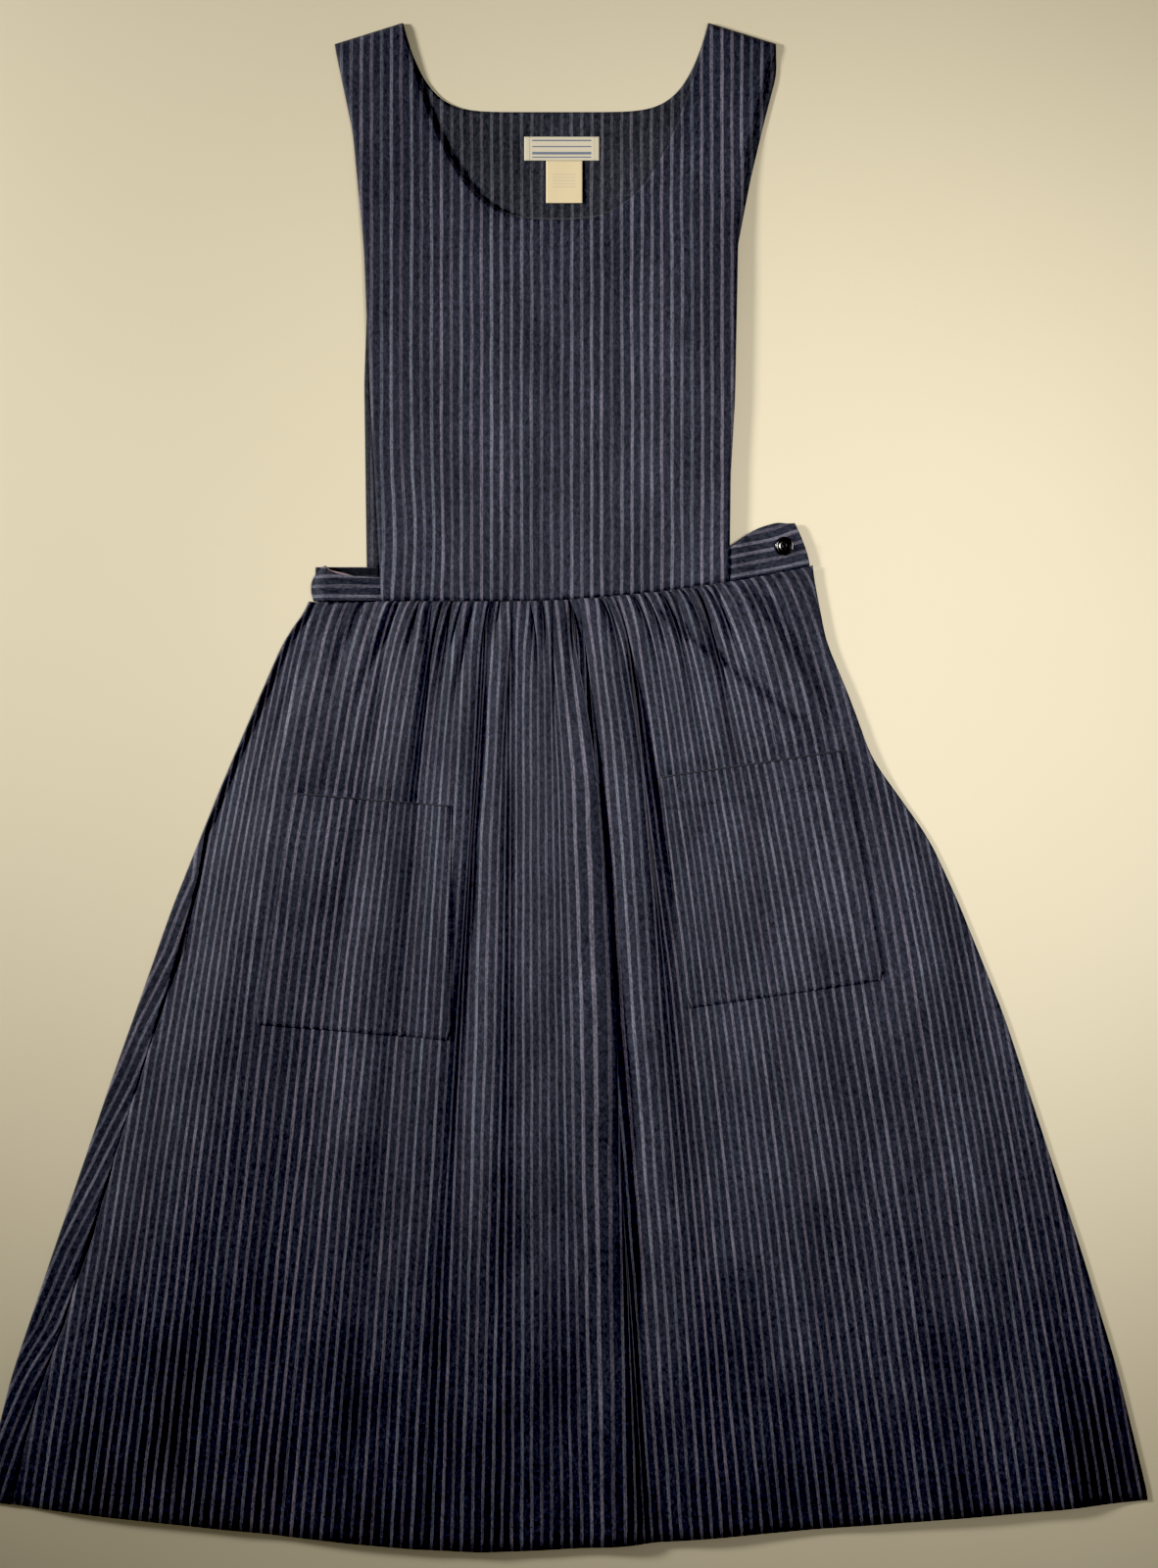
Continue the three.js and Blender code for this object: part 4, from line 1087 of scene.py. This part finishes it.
opening_facing("back_opening_facing", 1.9, "dress", "back_skirt_cloth")
opening_facing("front_opening_facing", 2.9, ACROSS_FOLD, "back_opening_facing_cloth")

# ---------------------------------------------------------------------------------------------
# Side button. A black four-hole button turned from polyester rod and polished, with a raised rim.
# It is sewn with black thread on a short shank, so that it can twist a little.
# ---------------------------------------------------------------------------------------------
button_low, button_high = (np.array(corner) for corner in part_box("side_button"))
button_centre = (button_low + button_high) / 2
BUTTON_RADIUS = (button_high[0] - button_low[0]) / 2
BUTTON_THICK = button_high[2] - button_low[2]
HOLE_RADIUS = 0.85 * MM
HOLE_REACH = 1.5 * MM
BAND_TILT = math.atan2(waist_y(LAP_END) - waist_y(BIB_RIGHT), LAP_END - BIB_RIGHT)
HOLE_SIDES = 20
BUTTON_SIDES = 64
HOLLOW = 0.6
SETTLE_X, SETTLE_Y = 0.13, 0.06


def link_mesh(name, bm):
    mesh = bpy.data.meshes.new(name)
    bm.to_mesh(mesh)
    bm.free()
    return link_piece(name, mesh)


def circle(count):
    return [(math.cos(math.tau * i / count), math.sin(math.tau * i / count)) for i in range(count)]


def turned(name, profile, segments, x, y, z):
    """A closed body turned about the vertical through x, y: profile is (radius, height) pairs."""
    bm = bmesh.new()
    rings = []
    for radius, height in profile:
        around = circle(segments) if radius > 0 else [(0, 0)]
        rings.append([bm.verts.new((x + radius * c, y + radius * s, z + height)) for c, s in around])
    for low, high in zip(rings, rings[1:]):
        for i in range(segments):
            j = (i + 1) % segments
            corners = [low[i % len(low)], low[j % len(low)], high[j % len(high)], high[i % len(high)]]
            bm.faces.new(list(dict.fromkeys(corners)))
    bmesh.ops.recalc_face_normals(bm, faces=bm.faces)
    return link_mesh(name, bm)


def tube(bm, path, radius, sides=8):
    """Adds a closed round tube along a path of points to the mesh."""
    rings = []
    for i, point in enumerate(path):
        ahead = Vector(path[min(i + 1, len(path) - 1)]) - Vector(path[max(i - 1, 0)])
        turn = ahead.to_track_quat("Z", "Y")
        around = [turn @ Vector((c, s, 0)) * radius for c, s in circle(sides)]
        rings.append([bm.verts.new(Vector(point) + offset) for offset in around])
    for low, high in zip(rings, rings[1:]):
        for k in range(sides):
            j = (k + 1) % sides
            bm.faces.new([low[k], low[j], high[j], high[k]])
    bm.faces.new(rings[0][::-1])
    bm.faces.new(rings[-1])


def plain_copy(piece):
    """The mesh with its modifiers applied, on the same object."""
    graph = bpy.context.evaluated_depsgraph_get()
    mesh = bpy.data.meshes.new_from_object(piece.evaluated_get(graph))
    piece.modifiers.clear()
    piece.data = mesh


R, H = BUTTON_RADIUS, BUTTON_THICK
centre_x, centre_y = button_centre[:2]
PROFILE = [(0, 0), (0.7, 0), (0.86, 0.08), (0.97, 0.3), (1, 0.52), (0.985, 0.72), (0.94, 0.9), (0.86, 1),
           (0.76, 0.96), (0.66, 0.78), (0.56, 0.64), (0.4, HOLLOW), (0, HOLLOW)]
button = turned("side_button_polished", [(r * R, h * H) for r, h in PROFILE], BUTTON_SIDES,
                centre_x, centre_y, button_low[2])
hole_spots = []
for i in range(4):
    angle = math.pi / 4 + i * math.pi / 2 + BAND_TILT
    reach = HOLE_REACH * math.sqrt(2)
    hole_spots.append((centre_x + reach * math.cos(angle), centre_y + reach * math.sin(angle)))
for spot in hole_spots:
    drill_profile = [(0, -H), (HOLE_RADIUS, -H), (HOLE_RADIUS, 3 * H), (0, 3 * H)]
    drill = turned("drill", drill_profile, HOLE_SIDES, *spot, button_low[2])
    cut = button.modifiers.new("hole", "BOOLEAN")
    cut.operation = "DIFFERENCE"
    cut.solver = "EXACT"
    cut.object = drill
    plain_copy(button)
    bpy.data.objects.remove(drill)
button.data.shade_smooth()


def settle_button(piece):
    """The sewn button sits a little askew: its left and lower side is down."""
    for vertex in piece.data.vertices:
        if vertex.co.z > button_low[2] - 0.3 * MM:
            vertex.co.z += SETTLE_X * (vertex.co.x - centre_x) + SETTLE_Y * (vertex.co.y - centre_y)


settle_button(button)
button.data.set_sharp_from_angle(angle=math.radians(38))

# Polished black polyester: a clear gloss with fine turning marks and a few light scuffs.
polyester = two_tone("polished_black_polyester", "#0b0b0d", "#191a1e", (0.1, 0.24), 700.0, 4.0,
                     IOR=1.54, Coat_Weight=0.5, Coat_Roughness=0.06)
declare(button, "button", "button", ["side_button"], polyester)

# Thread: two bars over the button, four legs down its holes and a wound shank below.
THREAD_RADIUS = 0.42 * MM
SHANK_RADIUS = 0.75 * MM
WIND_STEPS = 72
thread_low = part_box("button_thread")[0][2]
bar_top = button_low[2] + HOLLOW * H + THREAD_RADIUS
bm = bmesh.new()
for first, second in ((0, 3), (1, 2)):
    a, b = hole_spots[first], hole_spots[second]
    for side in (-1, 1):
        path = []
        for share in np.linspace(0, 1, 13):
            drop = (2 * share - 1) ** 6
            x = a[0] + (b[0] - a[0]) * share
            y = a[1] + (b[1] - a[1]) * share + side * THREAD_RADIUS * 0.75
            path.append((x, y, bar_top + 0.25 * MM * (1 - drop) - drop * 0.7 * H))
        tube(bm, path, THREAD_RADIUS * 0.8)
shank_low, shank_length = thread_low + 0.5 * MM, button_low[2] - thread_low - 0.8 * MM
wind = []
for k in range(WIND_STEPS + 1):
    angle = math.tau * k / 12
    wind.append((centre_x + SHANK_RADIUS * math.cos(angle), centre_y + SHANK_RADIUS * math.sin(angle),
                 shank_low + shank_length * k / WIND_STEPS))
tube(bm, wind, THREAD_RADIUS, 6)
thread = link_mesh("button_thread_wound", bm)
settle_button(thread)

# Polyester sewing thread: dark, softly shiny, twisted. The label is sewn with pale cotton thread.
dark_thread = two_tone("spun_polyester_thread", "#14151d", "#2d2f3d", 0.55, 2500.0, 2.0, (0.4, 0.0001),
                       Sheen_Weight=0.1)
pale_thread = two_tone("pale_cotton_thread", "#a9a28f", "#d0c8b4", 0.7, 2500.0, 2.0, Sheen_Weight=0.1)
declare(thread, "button", "thread", ["button_thread"], dark_thread)

# Non-woven interfacing inside the lap, pale and fibrous: the flat sheet is right as it stands.
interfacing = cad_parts["lap_interfacing"]
interfacing.data.materials.clear()
interfacing.data.materials.append(two_tone("nonwoven_interfacing", "#b9b7b0", "#e4e2dc", 0.9, 1600.0, 6.0))

# ---------------------------------------------------------------------------------------------
# Labels inside the back neck. A damask-woven name label with its ends turned under, here with
# plain woven bars only, and a satin care label that hangs below it with a few faint plain lines.
# ---------------------------------------------------------------------------------------------
LABEL_CLOTH = 0.4
LABEL_WAVE = 0.08


def label_piece(name, node, columns, rows, curl, lift):
    low, high = box_mm(node)
    a, b = np.meshgrid(np.linspace(0, 1, columns + 1), np.linspace(0, 1, rows + 1))
    x = low[0] + (high[0] - low[0]) * a
    y = high[1] - (high[1] - low[1]) * b
    z = high[2] + lift + LABEL_WAVE * np.sin(a * 7 + b * 2) + curl * b**2
    uv = np.stack([a * (high[0] - low[0]), (1 - b) * (high[1] - low[1])], axis=2)
    return cloth_mesh(name, np.stack([x, y, z], axis=2), uv, LABEL_CLOTH)


def line_mask(tree, coordinate, centre, half, soft):
    """1 on a line of the given half width about centre, 0 off it."""
    away = math_node(tree, "ABSOLUTE", math_node(tree, "SUBTRACT", coordinate, centre))
    return remap(tree, away, 0.0, 1.0, half + soft, half)


def label_material(name, tones, stretch, detail, span, bars, soft, ink, strength, inputs, bump=None):
    """A woven ribbon with plain lines: bars are (place up the label, half width), kept within span."""
    material, tree = new_material(name)
    in_mm = {0: cloth_place(tree), "Scale": 1 / MM}
    place = add(tree, "ShaderNodeVectorMath", in_mm, operation="SCALE").outputs[0]
    split = add(tree, "ShaderNodeSeparateXYZ", {"Vector": place})
    weave = noise(tree, place, 1.0, detail, stretch)
    field = mix(tree, weave, linear(tones[0]), linear(tones[1]))
    inside = line_mask(tree, split.outputs["X"], *span)
    for centre, half in bars:
        bar = math_node(tree, "MULTIPLY", line_mask(tree, split.outputs["Y"], centre, half, soft), inside)
        field = mix(tree, math_node(tree, "MULTIPLY", bar, strength), field, linear(ink))
    inputs["Base Color"] = field
    if bump:
        inputs["Normal"] = raised(tree, weave, *bump)
    close_material(tree, inputs)
    return material


label_low, label_high = box_mm("neck_label")
LABEL_W, LABEL_H = label_high[0] - label_low[0], label_high[1] - label_low[1]
CARE_W = np.ptp(box_mm("care_label")[:, 0])
damask = label_material("damask_woven_label", ("#c2b9a4", "#dcd4bf"), (1.2, 4.5, 1), 3.0,
                        (LABEL_W / 2, LABEL_W / 2 - 6.5, 0.3),
                        [(LABEL_H - 3.0, 0.45), (LABEL_H / 2 + 1.6, 0.35), (5.8, 0.9), (2.6, 0.35)], 0.25,
                        "#6b7688", 1.0, {"Roughness": 0.62, "Sheen Weight": 0.2}, (0.5, 0.0002))
satin = label_material("white_satin_ribbon", ("#d6c5a0", "#e4d4b0"), (6, 1.5, 1), 2.0, (CARE_W / 2, 8.5, 1.5),
                       [(up, 0.3) for up in (23.0, 20.5, 18.0, 15.5, 13.0)], 0.5, "#b9ae9c", 0.35,
                       {"Roughness": 0.38, "Specular IOR Level": 0.6, "Sheen Weight": 0.1})
neck_label = label_piece("neck_label_woven", "neck_label", 60, 24, 0.0, 0.1)
declare(neck_label, "dress", "woven_label", ["neck_label"], damask,
        flat=(0.068, 0.021), held="laid", rests_on=["back_bib_lining_cloth"])
care_label = label_piece("care_label_satin", "care_label", 30, 34, 0.7, 0.6)
declare(care_label, "care_label", "satin_label", ["care_label"], satin,
        flat=(0.03, 0.038), held="hung", rests_on=["neck_label_woven"])

# ---------------------------------------------------------------------------------------------
# Stitching. Lockstitch rows in dark thread hold the hem and the pockets, and light rows hold the
# label. One small Geometry Nodes tree lays a thread dash on each stitch of a path.
# ---------------------------------------------------------------------------------------------
STITCH_INPUTS = {"Geometry": "Geometry", "Stitch Pitch": "Float", "Stitch Length": "Float",
                 "Thread Radius": "Float", "Thread": "Material", "Seed": "Int"}


def stitch_tree():
    tree = bpy.data.node_groups.new("stitch_rows", "GeometryNodeTree")
    for name, kind in STITCH_INPUTS.items():
        tree.interface.new_socket(name, in_out="INPUT", socket_type="NodeSocket" + kind)
    tree.interface.new_socket("Geometry", in_out="OUTPUT", socket_type="NodeSocketGeometry")
    given = add(tree, "NodeGroupInput").outputs
    curve = add(tree, "GeometryNodeMeshToCurve", {"Mesh": given["Geometry"]}).outputs[0]
    points = add(tree, "GeometryNodeResampleCurve",
                 {"Curve": curve, "Length": given["Stitch Pitch"]}, mode="LENGTH").outputs[0]
    dash = add(tree, "GeometryNodeMeshUVSphere",
               {"Segments": 6, "Rings": 5, "Radius": given["Thread Radius"]}).outputs["Mesh"]
    ratio = math_node(tree, "DIVIDE", given["Stitch Length"], given["Thread Radius"])
    uneven = add(tree, "FunctionNodeRandomValue",
                 {"Min": 0.85, "Max": 1.1, "Seed": given["Seed"]}, data_type="FLOAT")
    long = math_node(tree, "MULTIPLY", math_node(tree, "MULTIPLY", ratio, 0.5), uneven.outputs[1])
    size = add(tree, "ShaderNodeCombineXYZ", {"X": 1.0, "Y": 1.0, "Z": long}).outputs[0]
    tangent = add(tree, "GeometryNodeInputTangent").outputs[0]
    facing = add(tree, "FunctionNodeAlignRotationToVector", {"Vector": tangent}, axis="Z").outputs[0]
    placed = add(tree, "GeometryNodeInstanceOnPoints",
                 {"Points": points, "Instance": dash, "Rotation": facing, "Scale": size}).outputs[0]
    real = add(tree, "GeometryNodeRealizeInstances", {"Geometry": placed}).outputs[0]
    coated = add(tree, "GeometryNodeSetMaterial", {"Geometry": real, "Material": given["Thread"]}).outputs[0]
    add(tree, "NodeGroupOutput", {"Geometry": coated})
    return tree


stitches = stitch_tree()


def stitch_rows(name, paths, pitch, length, radius, thread_material, seed, nodes=()):
    """Stitches along each path, a list of points in mm."""
    verts, edges = [], []
    for path in paths:
        first = len(verts)
        verts += [tuple(np.array(point) * MM) for point in path]
        edges += [(first + i, first + i + 1) for i in range(len(path) - 1)]
    mesh = bpy.data.meshes.new(name)
    mesh.from_pydata(verts, edges, [])
    piece = link_piece(name, mesh)
    modifier = piece.modifiers.new("stitches", "NODES")
    modifier.node_group = stitches
    values = {"Stitch Pitch": pitch * MM, "Stitch Length": length * MM, "Thread Radius": radius * MM,
              "Thread": thread_material, "Seed": seed}
    for item in stitches.interface.items_tree:
        if item.in_out == "INPUT" and item.name in values:
            modifier[item.identifier] = values[item.name]
    plain_copy(piece)
    piece.data.shade_smooth()
    declare(piece, "dress", "thread", nodes)


def on_piece(tree, x, y, lift=0.12):
    return (float(x), float(y), top_height(tree, float(x), float(y)) + lift)


# The hem is turned up once and held by a row 16 mm above its edge.
HEM_DEPTH = 16.0
hem_row = int(np.argmin(np.abs(front_uv[:, 0, 1] - SKIRT_LENGTH + HEM_DEPTH)))
hem_path = [tuple(point + np.array([0, 0, 0.1])) for point in front_points[hem_row, 2:-2]]
stitch_rows("hem_stitches", [hem_path], 3.2, 2.3, 0.28, dark_thread, 3)

# Pockets: a row along the turned hem, one down each side and one along the foot. The dark shadow
# under the lip of each mouth is painted by a close thick row of dark thread.
SIDE_ROW = 0.965
FOOT_ROW = POCKET_DEPTH - 2.5
pocket_paths, mouth_shadow_paths = [], []
for node, spec in POCKETS.items():
    pocket_tree = piece_tree(pocket_pieces[node])

    def pocket_line(first, last, count, lift=0.12):
        shares, downs = (np.linspace(a, b, count) for a, b in zip(first, last))
        places = [pocket_place(spec, share, down) for share, down in zip(shares, downs)]
        return [on_piece(pocket_tree, x, y, lift) for x, y in places]

    mouth_shadow_paths.append(pocket_line((-0.98, 0.4), (0.98, 0.4), 70, 0.2))
    pocket_paths += [
        pocket_line((-0.96, POCKET_HEM), (0.96, POCKET_HEM), 70),
        pocket_line((-SIDE_ROW, 2), (-SIDE_ROW, FOOT_ROW), 80),
        pocket_line((-SIDE_ROW, FOOT_ROW), (SIDE_ROW, FOOT_ROW), 70),
        pocket_line((SIDE_ROW, 2), (SIDE_ROW, FOOT_ROW), 80),
    ]
stitch_rows("pocket_stitches", pocket_paths, 2.9, 2.1, 0.26, dark_thread, 5)
# A thick dark row along each mouth: painted shadow of the gap under the lip.
stitch_rows("pocket_mouth_painted_shadow", mouth_shadow_paths, 1.2, 2.2, 0.8, dark_thread, 6)

# The label is held by a row at each end.
label_tree = piece_tree(neck_label)
for side in ("left", "right"):
    node = "neck_label_stitching_" + side
    low, high = box_mm(node)
    middle = (low[0] + high[0]) / 2
    path = [on_piece(label_tree, middle, y, 0.1) for y in np.linspace(low[1] + 0.8, high[1] - 0.8, 18)]
    stitch_rows(node + "_row", [path], 2.0, 1.6, 0.2, pale_thread, 7, [node])

# The buttonhole is worked with close thread over both lips of a slit.
hole_middle = box_mm("buttonhole_stitching").mean(axis=0)
slit_x, slit_y = math.cos(BAND_TILT), math.sin(BAND_TILT)
lap_tree = piece_tree(lap)
bm = bmesh.new()
for k in np.linspace(-8.0, 8.0, 30):
    for side in (-1, 1):
        points = []
        for reach in (0.15, 0.7, 1.3):
            x = hole_middle[0] + k * slit_x - side * reach * slit_y
            y = hole_middle[1] + k * slit_y + side * reach * slit_x
            points.append(tuple(np.array(on_piece(lap_tree, x, y, 0.15)) * MM))
        tube(bm, points, 0.24 * MM, 6)
declare(link_mesh("buttonhole_worked", bm), "side_corner", "thread", ["buttonhole_stitching"], dark_thread)

# ---------------------------------------------------------------------------------------------
# Floor, light and camera. The dress lies on a matt cream floor. A soft spot from the far left
# throws the long shadows, and a weaker one from high on the right fills the middle. The camera
# looks straight down.
# ---------------------------------------------------------------------------------------------
FLOOR_SIZE = 8.0
bpy.ops.mesh.primitive_plane_add(size=FLOOR_SIZE, location=(0, 0, 0))
floor = bpy.context.object
floor.name = "floor"
floor.data.materials.append(two_tone("matt_cream_board", "#d4cab0", "#dad1b9", 0.55, 3.0, 4.0))


def soft_spot(name, place, aim, cone, radius, power, tint):
    data = bpy.data.lights.new(name, "SPOT")
    data.spot_size = math.radians(cone)
    data.spot_blend = 1.0
    data.shadow_soft_size = radius
    data.energy = power
    data.color = linear(tint)[:3]
    lamp = bpy.data.objects.new(name, data)
    bpy.context.scene.collection.objects.link(lamp)
    lamp.location = place
    lamp.rotation_euler = (Vector(aim) - Vector(place)).to_track_quat("-Z", "Y").to_euler()


soft_spot("window", (-2.15, 0.53, 1.05), (0.04, 0.2, 0), 59.5, 0.22, 268, "#fffdf8")
soft_spot("room", (0.55, 0.13, 1.8), (0.32, 0.1, 0), 50, 0.3, 108, "#fffcf6")

WORLD_STRENGTH = 0.17
BLACK_LEVEL = 0.021
world = bpy.data.worlds.new("soft_room")
world.use_nodes = True
world.node_tree.nodes["Background"].inputs[0].default_value = linear("#e9e2d2")
world.node_tree.nodes["Background"].inputs[1].default_value = WORLD_STRENGTH
bpy.context.scene.world = world
view = bpy.context.scene.view_settings
view.view_transform = "Standard"
# A camera's tone curve sinks the darkest tones a little.
view.use_curve_mapping = True
view.curve_mapping.black_level = (BLACK_LEVEL,) * 3
view.curve_mapping.update()

CAMERA_HEIGHT = 1.9
SHOWN_LENGTH = 1.256
SENSOR = 36
camera_data = bpy.data.cameras.new("camera")
camera_data.sensor_width = SENSOR
camera_data.lens = SENSOR * CAMERA_HEIGHT / SHOWN_LENGTH
camera = bpy.data.objects.new("camera", camera_data)
camera.location = (0.0098, 0.0027, CAMERA_HEIGHT)
bpy.context.scene.collection.objects.link(camera)
bpy.context.scene.camera = camera
